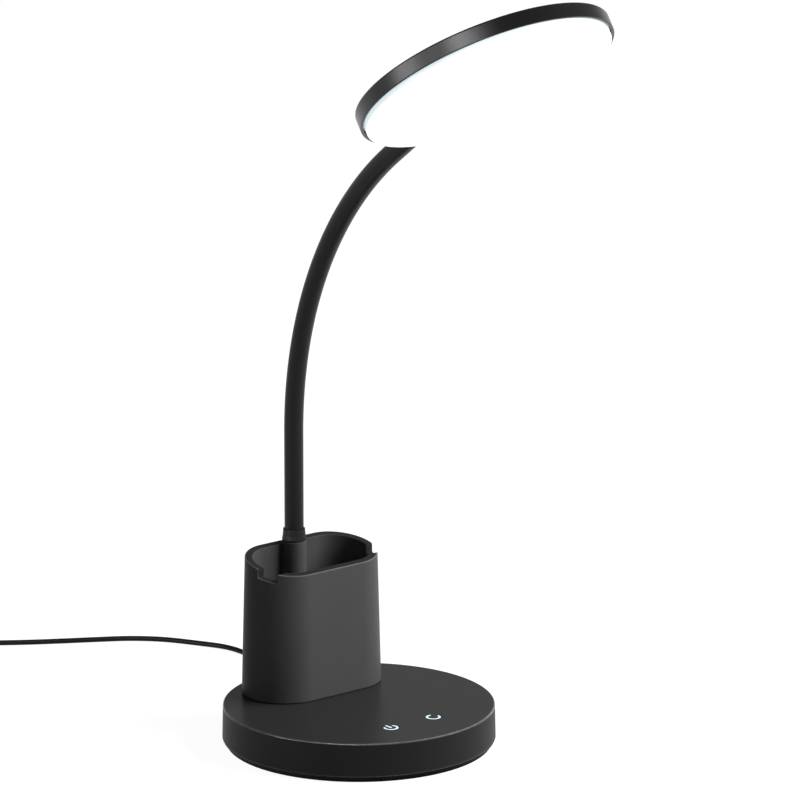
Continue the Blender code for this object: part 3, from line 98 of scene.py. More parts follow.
COVER_HOLE = mm((0.0, 0.5), (3.0, 0.5), (3.0, 3.1), (1.75, 3.1), (1.75, 5.0), (0.0, 5.0))
PAD_EDGE = mm((0.0, 1.2), (68.4, 1.2, 0.2), (68.4, 0.0, 0.35))
PAD_MIDDLE = mm((12.0, 0.0, 0.2), (11.4, 0.3, 0.2), (0.0, 0.3))
PAD_GROOVES = (64.0, 60.5, 57.0)

# Icons
ICON_X = 14.0 * MM
ICON_Y = -43.0 * MM
ICON_RING_R = 3.3 * MM
ICON_STROKE = 1.0 * MM
ICON_GAPS = {"power": (112.0, 90.0), "dimmer": (83.0, 41.0)}
POWER_BAR = (-0.55 * MM, 4.4 * MM)
ICON_FIT = 0.1 * MM
ICON_FOOT_Z = 17.6 * MM
ICON_BEVEL = 0.08 * MM
LIGHT_DISC_Z = (16.6 * MM, 18.2 * MM)
LIGHT_DISC_R = 6.0 * MM

# Pen cup
CUP_HALF_FLAT = 17.5 * MM
CUP_END_R = 22.5 * MM
CUP_Y = 38.9 * MM
CUP_Z = 21.0 * MM
CUP_FLOOR_Z = 29.0 * MM
CUP_FLOOR_UNDER_Z = 28.0 * MM
CUP_SKIRT_TOP_Z = 27.0 * MM
CUP_FRONT_H = 67.7 * MM
CUP_RIM_SLOPE = radians(9.4)
CUP_DRAFT = 1.95 * MM
CUP_WALL = 4.2 * MM
CUP_FULL_H = CUP_FRONT_H + 2.0 * CUP_END_R * tan(CUP_RIM_SLOPE)
CUP_PATH_R = 20.7 * MM
CUP_END_RUN = pi * CUP_PATH_R
CUP_ROUND = 4.0 * CUP_HALF_FLAT + 2.0 * CUP_END_RUN
CUP_RIM_EDGE = 0.45 * MM
CUP_FOOT_EDGE = 0.35 * MM
CUP_FLOOR_FILLET = 1.5 * MM
CUP_SCREWS = mm((-24.0, 38.9), (24.0, 38.9))
CUP_SCREW_BOSS_R = 3.6 * MM
RIM_FRONT_Y = CUP_Y - (CUP_END_R - CUP_DRAFT)
RIM_FRONT_Z = BASE_TOP_Z + CUP_FRONT_H
NOTCH_WIDTH = 9.9 * MM
NOTCH_DEPTH = 4.65 * MM
NOTCH_Y = CUP_Y - 8.45 * MM
NOTCH_SIDES = (NOTCH_Y - NOTCH_WIDTH / 2.0, NOTCH_Y + NOTCH_WIDTH / 2.0)
NOTCH_TOP_FILLET = 0.6 * MM
NOTCH_FLOOR_FILLET = 0.7 * MM
COLUMN_R = 6.4 * MM
COLUMN_BORE_R = 4.3 * MM
COLUMN_MOUTH_R = 5.3 * MM
COLUMN_MOUTH_DEPTH = 17.5 * MM
COLUMN_FOOT_R = 6.1 * MM

# Neck, with the wire's route through base and cup, in millimetres
NECK_Y = 53.0 * MM
NECK_FOOT_Z = 96.004 * MM
NECK_STRAIGHT = 57.5 * MM
NECK_BEND_R = 203.0 * MM
NECK_BEND = radians(52.8)
NECK_ARC = NECK_BEND_R * NECK_BEND
NECK_TO_RIM = 266.42 * MM
SLEEVE_DOWN = 16.0 * MM
SLEEVE_SIZES = {
    "Path start": -SLEEVE_DOWN, "Path end": NECK_TO_RIM - FIT, "Foot radius": 5.0 * MM,
    "Waist radius": 5.0 * MM, "Head radius": 5.25 * MM, "Bore radius": 3.85 * MM,
}
STATIONS = [(30.0 + 40.004 * i) * MM for i in range(6)]
WIRE_R = 0.6 * MM
WIRE_ROUTE = ((7.0, -20.7, 12.8), (6.65, -13.3, 11.5), (3.5, 5.1, 10.3), (0.7, 30.9, 10.3), (0.0, 50.6, 10.3))
WIRE_TURN = ((0.0, 51.8, 10.45), (0.0, 52.6, 11.0), (0.0, 53.0, 12.6))
WIRE_IN_HEAD = 24.0 * MM
COLLAR = mm((5.3, 6.0), (5.7, 6.0, 0.15), (5.94, 2.7, 4.0), (6.3, 0.9, 0.6), (6.3, 0.0, 0.2), (5.3, 0.0))

# Head
HEAD_R = 67.0 * MM
HEAD_REACH = 88.85 * MM
HEAD_TWIST = radians(1.5)
HEAD_WALL = 1.5 * MM
HEAD_WALL_H = 8.1 * MM
HEAD_DOME = 1.2 * MM
HEAD_SKIN = 1.5 * MM
HEAD_RADII = mm((0.0, 9.0, 18.0, 27.0, 36.0, 45.0, 52.0, 58.0, 62.0))[0]
NECK_AXIS_H = 5.4 * MM
HUMP_R = 5.6 * MM
HUMP_LENGTH = 22.0 * MM
CHANNEL_R = 3.7 * MM
CHANNEL_FROM_NOSE = 2.0 * MM
DIFFUSER_PROUD = 2.5 * MM
DIFFUSER_T = 1.5 * MM
DIFFUSER_GAP = 0.8 * MM
DIFFUSER_SKIRT_T = 1.2 * MM
DIFFUSER_SKIRT_H = 3.4 * MM
STRIP_R = HEAD_R - HEAD_WALL - FIT - DIFFUSER_SKIRT_T - FIT
STRIP_Z = -DIFFUSER_PROUD + DIFFUSER_T + FIT
STRIP_H = 1.6 * MM
STRIP_T = 0.35 * MM
LED_COUNT = 60
LED_SIZE = (0.6 * MM, 2.8 * MM, 1.2 * MM)
LED_FROM_STRIP = 0.75 * MM

# Cord, its coil, tie and plug. Sizes without MM are in millimetres, and sections are (width, height, corner).
CORD_R = 1.4 * MM
CORD_EXIT = Vector((0.0, 84.7, 9.5)) * MM
CORD_ROUTE = (
    (0.0, 88.5, 9.4), (1.6, 95.5, 8.0), (7.4, 103.6, 4.4), (16.6, 111.6, 1.8),
    (26.8, 119.6, 1.45), (36.6, 129.4, 1.45), (43.6, 141.4, 1.45), (46.8, 155.0, 1.45),
    (45.6, 169.5, 1.45), (38.9, 183.9, 1.45), (28.2, 202.0, 1.45), (15.3, 215.0, 1.45),
    (0.5, 224.6, 1.45), (-15.0, 233.9, 1.45), (-31.0, 243.8, 1.5), (-46.0, 253.3, 1.8),
)
CORD_Z = 9.5 * MM
RELIEF_LENGTH = 14.0 * MM
RELIEF_TIP_R = 1.9 * MM
RELIEF_ROOT_R = 3.4 * MM
RELIEF_TAPER = 11.7 * MM
RELIEF_RINGS = 4
COIL_MIDDLE = Vector((-80.5, 248.6, 0.0)) * MM
COIL_MEAN_R = 16.0 * MM
COIL_STEP = 3.3 * MM
COIL_LAYERS = 2
COIL_START_DEG = 58.0
COIL_TURNS = 9.0 + 122.0 / 360.0
COIL_Z = 2.0 * MM
COIL_POINTS_A_TURN = 48
COIL_WIDTH = COIL_STEP * COIL_TURNS / COIL_LAYERS
TIE_AT = radians(250.0)
TIE_T = 0.4 * MM
TIE_EDGE = 2.5 * MM
TIE_BEVEL = 0.1 * MM
TAIL_RUN = 14.0 * MM
PLUG_Z = 4.1 * MM
PLUG_NECK = 7.3 * MM
PLUG_BODY = 19.0 * MM
PLUG_TIP = 3.8
PLUG_THROAT = (5.2, 5.0, 2.3)
PLUG_FULL = (12.6, 8.0, 1.6)
PLUG_FRONT = ((4.6, 0.0), (14.0, 0.0), (18.2, 0.0), (18.75, 0.15), (19.0, 0.5))
SHELL_LENGTH = 12.0 * MM
SHELL_WALL = 0.35 * MM
SHELL_MOUTH = (12.0, 4.5, 0.6)
WINDOW = (2.3 * MM, 2.3 * MM, 8.0 * MM)
TONGUE_BLOCK = (11.1, 3.6, 0.3)
TONGUE = (11.0, 1.9, 0.2)
TONGUE_Z = 0.85
CONTACTS = ((-3.5, 1.0), (-1.0, 2.0), (1.0, 2.0), (3.5, 1.0))
CONTACT_END = 7.6
RIB_SIZES = {"Length": 7.4 * MM, "Rib radius": 0.42 * MM}
RIB_PLACES = [PLUG_NECK + (5.2 + 1.9 * k) * MM for k in range(5)]
RIB_HEIGHT = 3.66 * MM

ALONG_Y = Matrix.Rotation(radians(-90.0), 4, "X")


def move(x, y, z=0.0):
    return Matrix.Translation((x, y, z))


def placed(name, data):
    """A new object in the scene."""
    made = bpy.data.objects.new(name, data)
    bpy.context.scene.collection.objects.link(made)
    return made


def dress(data, material):
    """Gives mesh or curve data one material."""
    data.materials.clear()
    data.materials.append(material)


def settle(piece, body, slot, *nodes):
    """Names the body that a piece rides on and the CAD nodes that it replaces. Its material slot is not used.
    """
    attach(piece, body)
    if nodes:
        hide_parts(*nodes)
    return piece


def set_camera():
    data = bpy.data.cameras.new("photograph_view")
    data.sensor_width = SENSOR_WIDTH
    data.lens = FOCAL_PIXELS / FRAME_PIXELS * SENSOR_WIDTH
    data.clip_end = 30.0
    camera = placed("photograph_view", data)
    right = Vector((cos(CAMERA_AZIMUTH), sin(CAMERA_AZIMUTH), 0.0))
    back = Vector((
        sin(CAMERA_AZIMUTH) * cos(CAMERA_PITCH), -cos(CAMERA_AZIMUTH) * cos(CAMERA_PITCH), sin(CAMERA_PITCH)
    ))
    up = back.cross(right)
    place = right * CAMERA_RIGHT + up * CAMERA_UP + back * CAMERA_DISTANCE
    camera.matrix_world = Matrix.Translation(place) @ Matrix((right, up, back)).transposed().to_4x4()
    bpy.context.scene.camera = camera


set_camera()


def maths(operation, reflected=False):
    """A method that sends a wire and other values through one Math node."""
    def method(self, *others):
        values = (*others, self) if reflected else (self, *others)
        return self.tree.add("ShaderNodeMath", dict(enumerate(values)), operation=operation)
    return method


class Wire:
    """A node's output that takes part in Python arithmetic, each operation adding a Math node."""

    __add__, __radd__ = maths("ADD"), maths("ADD", True)
    __sub__, __rsub__ = maths("SUBTRACT"), maths("SUBTRACT", True)
    __mul__, __rmul__ = maths("MULTIPLY"), maths("MULTIPLY", True)
    __truediv__, __rtruediv__ = maths("DIVIDE"), maths("DIVIDE", True)
    root, absolute, nearest = maths("SQRT"), maths("ABSOLUTE"), maths("ROUND")
    at_most, at_least, above = maths("MINIMUM"), maths("MAXIMUM"), maths("GREATER_THAN")
    remainder, sine, cosine = maths("MODULO"), maths("SINE"), maths("COSINE")

    def __init__(self, tree, node, output=0):
        self.tree = tree
        self.node = node
        self.socket = node.outputs[output] if node.outputs else None

    def out(self, name):
        return Wire(self.tree, self.node, name)


class Tree:
    """A node tree whose nodes are added by type, settings and what goes into their sockets."""

    def __init__(self, tree):
        self.tree = tree

    def add(self, kind, inputs=None, output=0, **settings):
        node = self.tree.nodes.new(kind)
        for key, value in settings.items():
            setattr(node, key, value)
        for key, value in (inputs or {}).items():
            self.feed(node.inputs[key], value)
        return Wire(self, node, output)

    def feed(self, socket, value):
        """Links a wire or sets a plain value. A colour of three parts is opaque."""
        if isinstance(value, Wire):
            self.tree.links.new(value.socket, socket)
        else:
            socket.default_value = (*value, 1.0) if socket.type == "RGBA" and len(value) == 3 else value

    def vector(self, x=0.0, y=0.0, z=0.0):
        return self.add("ShaderNodeCombineXYZ", {"X": x, "Y": y, "Z": z})

    def vectors(self, operation, inputs):
        return self.add("ShaderNodeVectorMath", inputs, operation=operation)

    def parts(self, vector):
        split = self.add("ShaderNodeSeparateXYZ", {"Vector": vector})
        return split.out("X"), split.out("Y"), split.out("Z")

    def step(self, value, low, high, first=0.0, last=1.0):
        """From the first level at low to the last at high, eased between."""
        levels = {"Value": value, "From Min": low, "From Max": high, "To Min": first, "To Max": last}
        return self.add("ShaderNodeMapRange", levels, interpolation_type="SMOOTHSTEP")


class Finish(Tree):
    """A material built round one Principled shader, its patterns laid out in Object coordinates."""

    def __init__(self, name, **sockets):
        self.material = bpy.data.materials.new(name)
        self.material.use_nodes = True
        super().__init__(self.material.node_tree)
        self.shader = self.tree.nodes["Principled BSDF"]
        self.place = self.add("ShaderNodeTexCoord").out("Object")
        for key, value in sockets.items():
            self.set(key.replace("_", " "), value)

    def set(self, name, value):
        self.feed(self.shader.inputs[name], value)

    def mapped(self, kind="POINT", **inputs):
        """The coordinates moved, turned or stretched."""
        return self.add("ShaderNodeMapping", {"Vector": self.place, **inputs}, vector_type=kind)

    def on_head(self):
        """The coordinates in the head's own frame."""
        return self.mapped("TEXTURE", Location=HEAD.translation, Rotation=HEAD.to_euler())

    def grain(self, size, detail=2.0, roughness=0.5, vector=None):
        """Soft noise whose lumps are about that size across."""
        lumps = {"Scale": 1.0 / size, "Detail": detail, "Roughness": roughness}
        return self.add("ShaderNodeTexNoise", {"Vector": vector or self.place, **lumps})

    def cells(self, feature, vector, size, randomness):
        """The distance pattern of cells that are about that size across."""
        inputs = {"Vector": vector, "Scale": 1.0 / size, "Randomness": randomness}
        return self.add("ShaderNodeTexVoronoi", inputs, "Distance", feature=feature)

    def mix(self, factor, first, second):
        return self.add("ShaderNodeMix", {0: factor, 6: first, 7: second}, 2, data_type="RGBA")

    def coat(self, colour, gloss, height, depth):
        """Sets the colour, the roughness and a height field whose full range is depth metres."""
        self.set("Base Color", colour)
        self.set("Roughness", gloss)
        self.set("Normal", self.add("ShaderNodeBump", {"Height": height, "Distance": depth, "Strength": 1.0}))
        return self


def neck_point(s):
    """The neck's centre line, s metres from the column's top."""
    turn = max(0.0, min((s - NECK_STRAIGHT) / NECK_BEND_R, NECK_BEND))
    past = max(0.0, s - NECK_STRAIGHT - NECK_ARC)
    y = NECK_Y - NECK_BEND_R * (1.0 - cos(turn)) - past * sin(NECK_BEND)
    z = NECK_FOOT_Z + min(s, NECK_STRAIGHT) + NECK_BEND_R * sin(turn) + past * cos(NECK_BEND)
    return Vector((0.0, y, z))


def head_matrix():
    """The head's frame: its middle at the wall's lower edge, +Z out of its back, +Y towards the neck."""
    forward = Vector((0.0, -sin(NECK_BEND), cos(NECK_BEND)))
    side = Vector((0.0, cos(NECK_BEND), sin(NECK_BEND)))
    back = Matrix((Vector((1.0, 0.0, 0.0)), -forward, side)).transposed().to_4x4()
    axis = Matrix.Translation(neck_point(NECK_STRAIGHT + NECK_ARC) + forward * HEAD_REACH) @ back
    return axis @ Matrix.Rotation(HEAD_TWIST, 4, "Y") @ move(0.0, 0.0, -NECK_AXIS_H)


HEAD = head_matrix()


def run_length(points):
    return sum((b - a).length for a, b in zip(points, points[1:]))


def smooth_route(points, step):
    """Points about a step apart on a smooth curve through the given points."""
    ends = [points[0] * 2.0 - points[1], *points, points[-1] * 2.0 - points[-2]]
    pieces = 40
    fine = []
    for p0, p1, p2, p3 in zip(ends, ends[1:], ends[2:], ends[3:]):
        square = 2.0 * p0 - 5.0 * p1 + 4.0 * p2 - p3
        cube = 3.0 * p1 - p0 - 3.0 * p2 + p3
        for t in (i / pieces for i in range(pieces)):
            fine.append(0.5 * (2.0 * p1 + (p2 - p0) * t + square * t * t + cube * t * t * t))
    fine.append(points[-1])
    total = run_length(fine)
    count = max(2, round(total / step))
    made = [fine[0]]
    travelled = 0.0
    for a, b in zip(fine, fine[1:]):
        run = (b - a).length
        while len(made) < count and travelled + run >= total * len(made) / count:
            made.append(a.lerp(b, (total * len(made) / count - travelled) / run))
        travelled += run
    made.append(fine[-1])
    return made


def eased(t):
    t = max(0.0, min(1.0, t))
    return t * t * (3.0 - 2.0 * t)


def coil_points():
    """Loops that spiral in on the first layer and out again on the next."""
    per_layer = COIL_TURNS / COIL_LAYERS
    count = round(COIL_TURNS * COIL_POINTS_A_TURN)
    points = []
    for i in range(count + 1):
        turn = COIL_TURNS * i / count
        layer = min(int(turn / per_layer), COIL_LAYERS - 1)
        share = turn / per_layer - layer
        inward = share if layer % 2 == 0 else 1.0 - share
        radius = COIL_MEAN_R + COIL_WIDTH / 2.0 - COIL_WIDTH * inward
        climb = sum(eased((turn - per_layer * k) * 2.0 + 0.5) for k in range(1, COIL_LAYERS))
        angle = radians(COIL_START_DEG) + 2.0 * pi * turn
        spot = Vector((radius * cos(angle), radius * sin(angle), COIL_Z + COIL_STEP * climb))
        points.append(COIL_MIDDLE + spot)
    return points


COIL = coil_points()
OUT = (COIL[-1] - COIL[-2]).normalized()
AHEAD = Vector((OUT.x, OUT.y, 0.0)).normalized()
PLUG_AT = COIL[-1] + OUT * 2.0 * CORD_R + AHEAD * TAIL_RUN
PLUG_AT.z = PLUG_Z
PLUG_FRAME = Matrix.Translation(PLUG_AT) @ Matrix.Rotation(atan2(AHEAD.y, AHEAD.x) - pi / 2.0, 4, "Z")


def cord_line():
    """The cord's middle line from its exit to the plug."""
    into = (COIL[0] - COIL[1]).normalized()
    lead = [CORD_EXIT] + [Vector(point) * MM for point in CORD_ROUTE] + [COIL[0] + into * 2.0 * CORD_R]
    away = COIL[-1] + OUT * 2.0 * CORD_R
    tail = [away, away + OUT * 2.0 * CORD_R, PLUG_AT - AHEAD * 3.0 * CORD_R, PLUG_AT]
    return smooth_route(lead, 3.0 * MM) + COIL + smooth_route(tail, 2.0 * MM)


def round_line(name, points, radius, sides):
    """Curve data for a round rod through points."""
    data = bpy.data.curves.new(name, "CURVE")
    data.dimensions = "3D"
    data.bevel_depth = radius
    data.bevel_resolution = sides
    data.use_fill_caps = True
    line = data.splines.new("POLY")
    line.points.add(len(points) - 1)
    for spot, point in zip(line.points, points):
        spot.co = (*point, 1.0)
    line.use_smooth = True
    return data


def make_cord(finish):
    points = cord_line()
    cord = placed("supply_cord", round_line("supply_cord", points, CORD_R, 6))
    dress(cord.data, finish.material)
    return cord, run_length(points)


def rounded(corners, steps=5, support=0.12 * MM):
    """Points of an open outline of (x, y, fillet) corners, each fillet with a point close to both ends."""
    points = [Vector(c[:2]) for c in corners]
    made = []
    for i, corner in enumerate(points):
        fillet = corners[i][2] if len(corners[i]) > 2 else 0.0
        if fillet <= 0.0 or i in (0, len(points) - 1):
            made.append(corner)
            continue
        back = (points[i - 1] - corner).normalized()
        ahead = (points[i + 1] - corner).normalized()
        half = back.angle(ahead) / 2.0
        reach = fillet / tan(half)
        middle = corner + (back + ahead).normalized() * (fillet / sin(half))
        first, last = corner + back * reach, corner + ahead * reach
        if support and (points[i - 1] - corner).length > reach + 3.0 * support:
            made.append(first + back * support)
        start, end = first - middle, last - middle
        sweep = atan2(start.x * end.y - start.y * end.x, start.dot(end))
        made += [middle + Matrix.Rotation(sweep * k / steps, 2) @ start for k in range(steps + 1)]
        if support and (points[i + 1] - corner).length > reach + 3.0 * support:
            made.append(last + ahead * support)
    return made


def smooth(data, sharp=35.0):
    """Shades faces smooth, but for edges sharper than an angle."""
    data.shade_smooth()
    data.set_sharp_from_angle(angle=radians(sharp))


def mesh_from(shape, name, matrix=None, sharp=35.0):
    """A bmesh as mesh data: doubles merged, faces pointing out, smooth up to sharp edges, set in place."""
    bmesh.ops.remove_doubles(shape, verts=shape.verts, dist=WELD)
    bmesh.ops.dissolve_degenerate(shape, edges=shape.edges, dist=SLIVER)
    bmesh.ops.recalc_face_normals(shape, faces=shape.faces)
    if matrix:
        shape.transform(matrix)
    data = bpy.data.meshes.new(name)
    shape.to_mesh(data)
    shape.free()
    smooth(data, sharp)
    return data


def built(shape, name, finish, matrix=None, sharp=35.0):
    """A piece made from a bmesh, in one finish."""
    made = placed(name, mesh_from(shape, name, matrix, sharp))
    dress(made.data, finish.material)
    return made


def evaluated(piece):
    return bpy.data.meshes.new_from_object(piece.evaluated_get(bpy.context.evaluated_depsgraph_get()))


def shape_of(carrier):
    """The evaluated mesh of a helper object, which is then removed."""
    made = evaluated(carrier)
    shape = bmesh.new()
    shape.from_mesh(made)
    bpy.data.meshes.remove(made)
    bpy.data.objects.remove(carrier, do_unlink=True)
    return shape


def skin(shape, rows, closed=False):
    """Adds faces between rows of vertices, and from the last row back to the first where closed."""
    for low, high in zip(rows, rows[1:] + rows[:1] if closed else rows[1:]):
        for i in range(len(low)):
            j = (i + 1) % len(low)
            corners = list(dict.fromkeys((low[i], low[j], high[j], high[i])))
            if len(corners) > 2:
                shape.faces.new(corners)


def loft_into(shape, sections, closed=False):
    """Adds a solid through rows of points, or a closed wall when the last section meets the first."""
    rows = [[shape.verts.new(point) for point in section] for section in sections]
    skin(shape, rows, closed)
    if not closed:
        shape.faces.new(rows[0][::-1])
        shape.faces.new(rows[-1])


def turn_into(shape, outline, segments, matrix=None):
    """Adds an outline of (radius, height) points turned about +Z, closed where it starts off the axis."""
    turns = [2.0 * pi * i / segments for i in range(segments)]
    thin = 1e-9
    rows = []
    for radius, height in outline:
        if radius <= thin:
            rows.append([shape.verts.new((0.0, 0.0, height))] * segments)
        else:
            rows.append([shape.verts.new((radius * cos(t), radius * sin(t), height)) for t in turns])
    skin(shape, rows, outline[0][0] > thin)
    if matrix:
        bmesh.ops.transform(shape, matrix=matrix, verts=list({v for row in rows for v in row}))


def lathe(name, finish, corners, segments=192, matrix=None, sharp=35.0, steps=5):
    """A turned piece from (radius, height, fillet) corners."""
    shape = bmesh.new()
    turn_into(shape, rounded(corners, steps), segments)
    return built(shape, name, finish, matrix, sharp)


def prism_into(shape, outline, low, high, bevel=0.0):
    """Adds an upright prism over a flat outline, its top edge stepped in by a small bevel."""
    levels = [(low, 0.0), (high - bevel, 0.0)]
    if bevel:
        levels += [(high - bevel * 0.3, bevel * 0.3), (high, bevel)]
    runs = [(outline[(i + 1) % len(outline)] - outline[i - 1]).normalized() for i in range(len(outline))]
    loft_into(shape, [
        [(*(point + Vector((-run.y, run.x)) * inset), z) for point, run in zip(outline, runs)]
        for z, inset in levels
    ])


def carve(piece, name, fill, operation="DIFFERENCE"):
    """Applies an exact Boolean with a tool whose mesh a function fills in."""
    shape = bmesh.new()
    fill(shape)
    tool = placed(name, mesh_from(shape, name))
    step = piece.modifiers.new(name, "BOOLEAN")
    step.operation = operation
    step.solver = "EXACT"
    step.object = tool
    data = evaluated(piece)
    piece.modifiers.clear()
    old, piece.data = piece.data, data
    material = old.materials[0]
    bpy.data.meshes.remove(old)
    bpy.data.objects.remove(tool, do_unlink=True)
    shape = bmesh.new()
    shape.from_mesh(data)
    bmesh.ops.remove_doubles(shape, verts=shape.verts, dist=CUT_WELD)
    shape.to_mesh(data)
    shape.free()
    dress(data, material)
    for polygon in data.polygons:
        polygon.material_index = 0
    smooth(data)


def cylinders_into(shape, places, low, high, radius, segments=32):
    """Adds an upright cylinder at each (x, y) place."""
    for x, y in places:
        turn_into(shape, [(0.0, low), (radius, low), (radius, high), (0.0, high)], segments, move(x, y))


def around(angle, radius):
    return Vector((cos(angle), sin(angle))) * radius


def stroke_outline(gap_deg, gap_at_deg, grow):
    """Outline of an open ring with round ends, counter-clockwise, grown by a clearance."""
    half = ICON_STROKE / 2.0 + grow
    start = radians(gap_at_deg + gap_deg / 2.0)
    sweep = radians(360.0 - gap_deg)
    count = 56
    turns = [start + sweep * i / count for i in range(count + 1)]
    caps = [pi * k / 8.0 for k in range(1, 8)]
    points = [around(a, ICON_RING_R + half) for a in turns]
    points += [around(start + sweep, ICON_RING_R) + around(start + sweep + a, half) for a in caps]
    points += [around(a, ICON_RING_R - half) for a in reversed(turns)]
    points += [around(start, ICON_RING_R) + around(start + pi + a, half) for a in caps]
    return points


def bar_outline(grow):
    """Outline of the power icon's upright stroke with round ends."""
    half = ICON_STROKE / 2.0 + grow
    low, high = POWER_BAR[0] + ICON_STROKE / 2.0, POWER_BAR[1] - ICON_STROKE / 2.0
    caps = [around(pi * k / 8.0, half) for k in range(9)]
    return [Vector((0.0, high)) + p for p in caps] + [Vector((0.0, low)) - p for p in caps]


def icon_x(kind):
    return -ICON_X if kind == "power" else ICON_X


def icon_into(shape, kind, grow, low, high, bevel=0.0):
    outlines = [stroke_outline(*ICON_GAPS[kind], grow)]
    if kind == "power":
        outlines.append(bar_outline(grow))
    for outline in outlines:
        prism_into(shape, [p + Vector((icon_x(kind), ICON_Y)) for p in outline], low, high, bevel)


def make_base(plastic, rubber, dark):
    recess, inner = BASE_FOOT_R - BASE_STEP, BASE_FOOT_R - BASE_WALL
    shell = lathe("base_shell", plastic, [
        (0.0, BASE_TOP_Z), (BASE_TOP_R, BASE_TOP_Z, 0.7 * MM), (BASE_FOOT_R, BASE_STEP_Z, 0.15 * MM),
        (recess, BASE_STEP_Z, 0.1 * MM), (recess, BASE_BOTTOM_Z, 0.2 * MM), (inner, BASE_BOTTOM_Z, 0.2 * MM),
        (inner - 0.4 * MM, PLATE_UNDER_Z, 0.8 * MM), (0.0, PLATE_UNDER_Z),
    ], 256)
    through = (PLATE_UNDER_Z - PAST, BASE_TOP_Z + PAST)

    def bosses(shape):
        cylinders_into(shape, SCREW_PLACES, COVER_TOP_Z + FIT, PLATE_UNDER_Z + PAST, BOSS_R)
        cylinders_into(shape, BOARD_PLACES, BOARD_TOP_Z + FIT, PLATE_UNDER_Z + PAST, BOARD_BOSS_R)

    def holes(shape):
        cylinders_into(shape, SCREW_PLACES, *SCREW_BORE_Z, SCREW_BORE_R)
        cylinders_into(shape, BOARD_PLACES, BOARD_TOP_Z - PAST, BOARD_TOP_Z + BOARD_BORE_H, BOARD_BORE_R)
        cylinders_into(shape, [(0.0, NECK_Y)], *through, COLUMN_BORE_R)
        cylinders_into(shape, CUP_SCREWS, *through, SCREW_BORE_R)
        turn_into(shape, CORD_HOLE, 32, move(0.0, BASE_FOOT_R, CORD_Z) @ ALONG_Y)

    def slots(shape):
        for kind in ICON_GAPS:
            icon_into(shape, kind, ICON_FIT, *through)

    carve(shell, "base_bosses", bosses, "UNION")
    carve(shell, "base_holes", holes)
    carve(shell, "icon_slots", slots)
    settle(shell, "base", "satin_black", "base_housing")

    def cover_holes(shape):
        for x, y in SCREW_PLACES:
            turn_into(shape, COVER_HOLE, 32, move(x, y))

    cover = lathe("base_cover", dark, COVER)
    carve(cover, "cover_holes", cover_holes)
    settle(cover, "base", "moulded_black", "bottom_cover")
    grooves = []
    for radius in PAD_GROOVES:
        sides = ((0.8, 0.0), (0.5, 0.45), (-0.5, 0.45), (-0.8, 0.0))
        grooves += mm(*((radius + aside, height, 0.15) for aside, height in sides))
    pad = lathe("foot_pad_ring", rubber, PAD_EDGE + grooves + PAD_MIDDLE, 192, None, 50.0, 3)
    settle(pad, "base", "foot_rubber", "foot_pad")


def make_icons(lit):
    for kind in ICON_GAPS:
        shape = bmesh.new()
        icon_into(shape, kind, 0.0, ICON_FOOT_Z, BASE_TOP_Z, ICON_BEVEL)
        cylinders_into(shape, [(icon_x(kind), ICON_Y)], *LIGHT_DISC_Z, LIGHT_DISC_R, 64)
        settle(built(shape, kind + "_icon_light", lit), "base", "icon_white", kind + "_icon")


def cup_radius(z):
    return CUP_END_R - CUP_DRAFT * (z - CUP_Z) / CUP_FULL_H


def kept_across(angle, radius, inset):
    """The angle at an inset for one on the outside, so that a notch's cheeks stand square to Y."""
    front, back = (asin((y - CUP_Y) / radius) for y in NOTCH_SIDES)
    held = max(front, min(back, angle))
    turn = asin(sin(held) * radius / (radius - inset)) - held
    if angle < front:
        turn *= (angle + pi / 2.0) / (front + pi / 2.0)
    elif angle > back:
        turn *= (pi / 2.0 - angle) / (pi / 2.0 - back)
    return angle + turn


def cup_point(w, z, inset):
    """A point in the cup's wall, w metres round it from the front's middle."""
    radius = cup_radius(z)
    w = w % CUP_ROUND
    side = 1.0 if w < CUP_ROUND / 2.0 else -1.0
    run = (w if side > 0.0 else CUP_ROUND - w) - CUP_HALF_FLAT
    if run < 0.0:
        return Vector((side * (run + CUP_HALF_FLAT), CUP_Y - radius + inset, z))
    if run < CUP_END_RUN:
        angle = kept_across(run / CUP_PATH_R - pi / 2.0, radius, inset)
        x = CUP_HALF_FLAT + (radius - inset) * cos(angle)
        return Vector((side * x, CUP_Y + (radius - inset) * sin(angle), z))
    return Vector((side * (CUP_HALF_FLAT - (run - CUP_END_RUN)), CUP_Y + radius - inset, z))


def rim_height(y):
    """The height of the sloping rim over depth y."""
    return RIM_FRONT_Z + (y - RIM_FRONT_Y) * tan(CUP_RIM_SLOPE)


def rim_at(w):
    """The sloping rim's height w metres round the cup, found in a few rounds because the wall leans."""
    z = RIM_FRONT_Z
    for _ in range(4):
        z = rim_height(cup_point(w, z, 0.0).y)
    return z


def rim_corner(y, depth, fillet):
    """A corner of the right notch at depth y, some way below the rim, in (round, height, fillet)."""
    z = rim_height(y) - depth
    return CUP_HALF_FLAT + (asin((y - CUP_Y) / cup_radius(z)) + pi / 2.0) * CUP_PATH_R, z, fillet


def spaced(low, high, step):
    count = max(1, round((high - low) / step))
    return [low + (high - low) * i / count for i in range(count)]


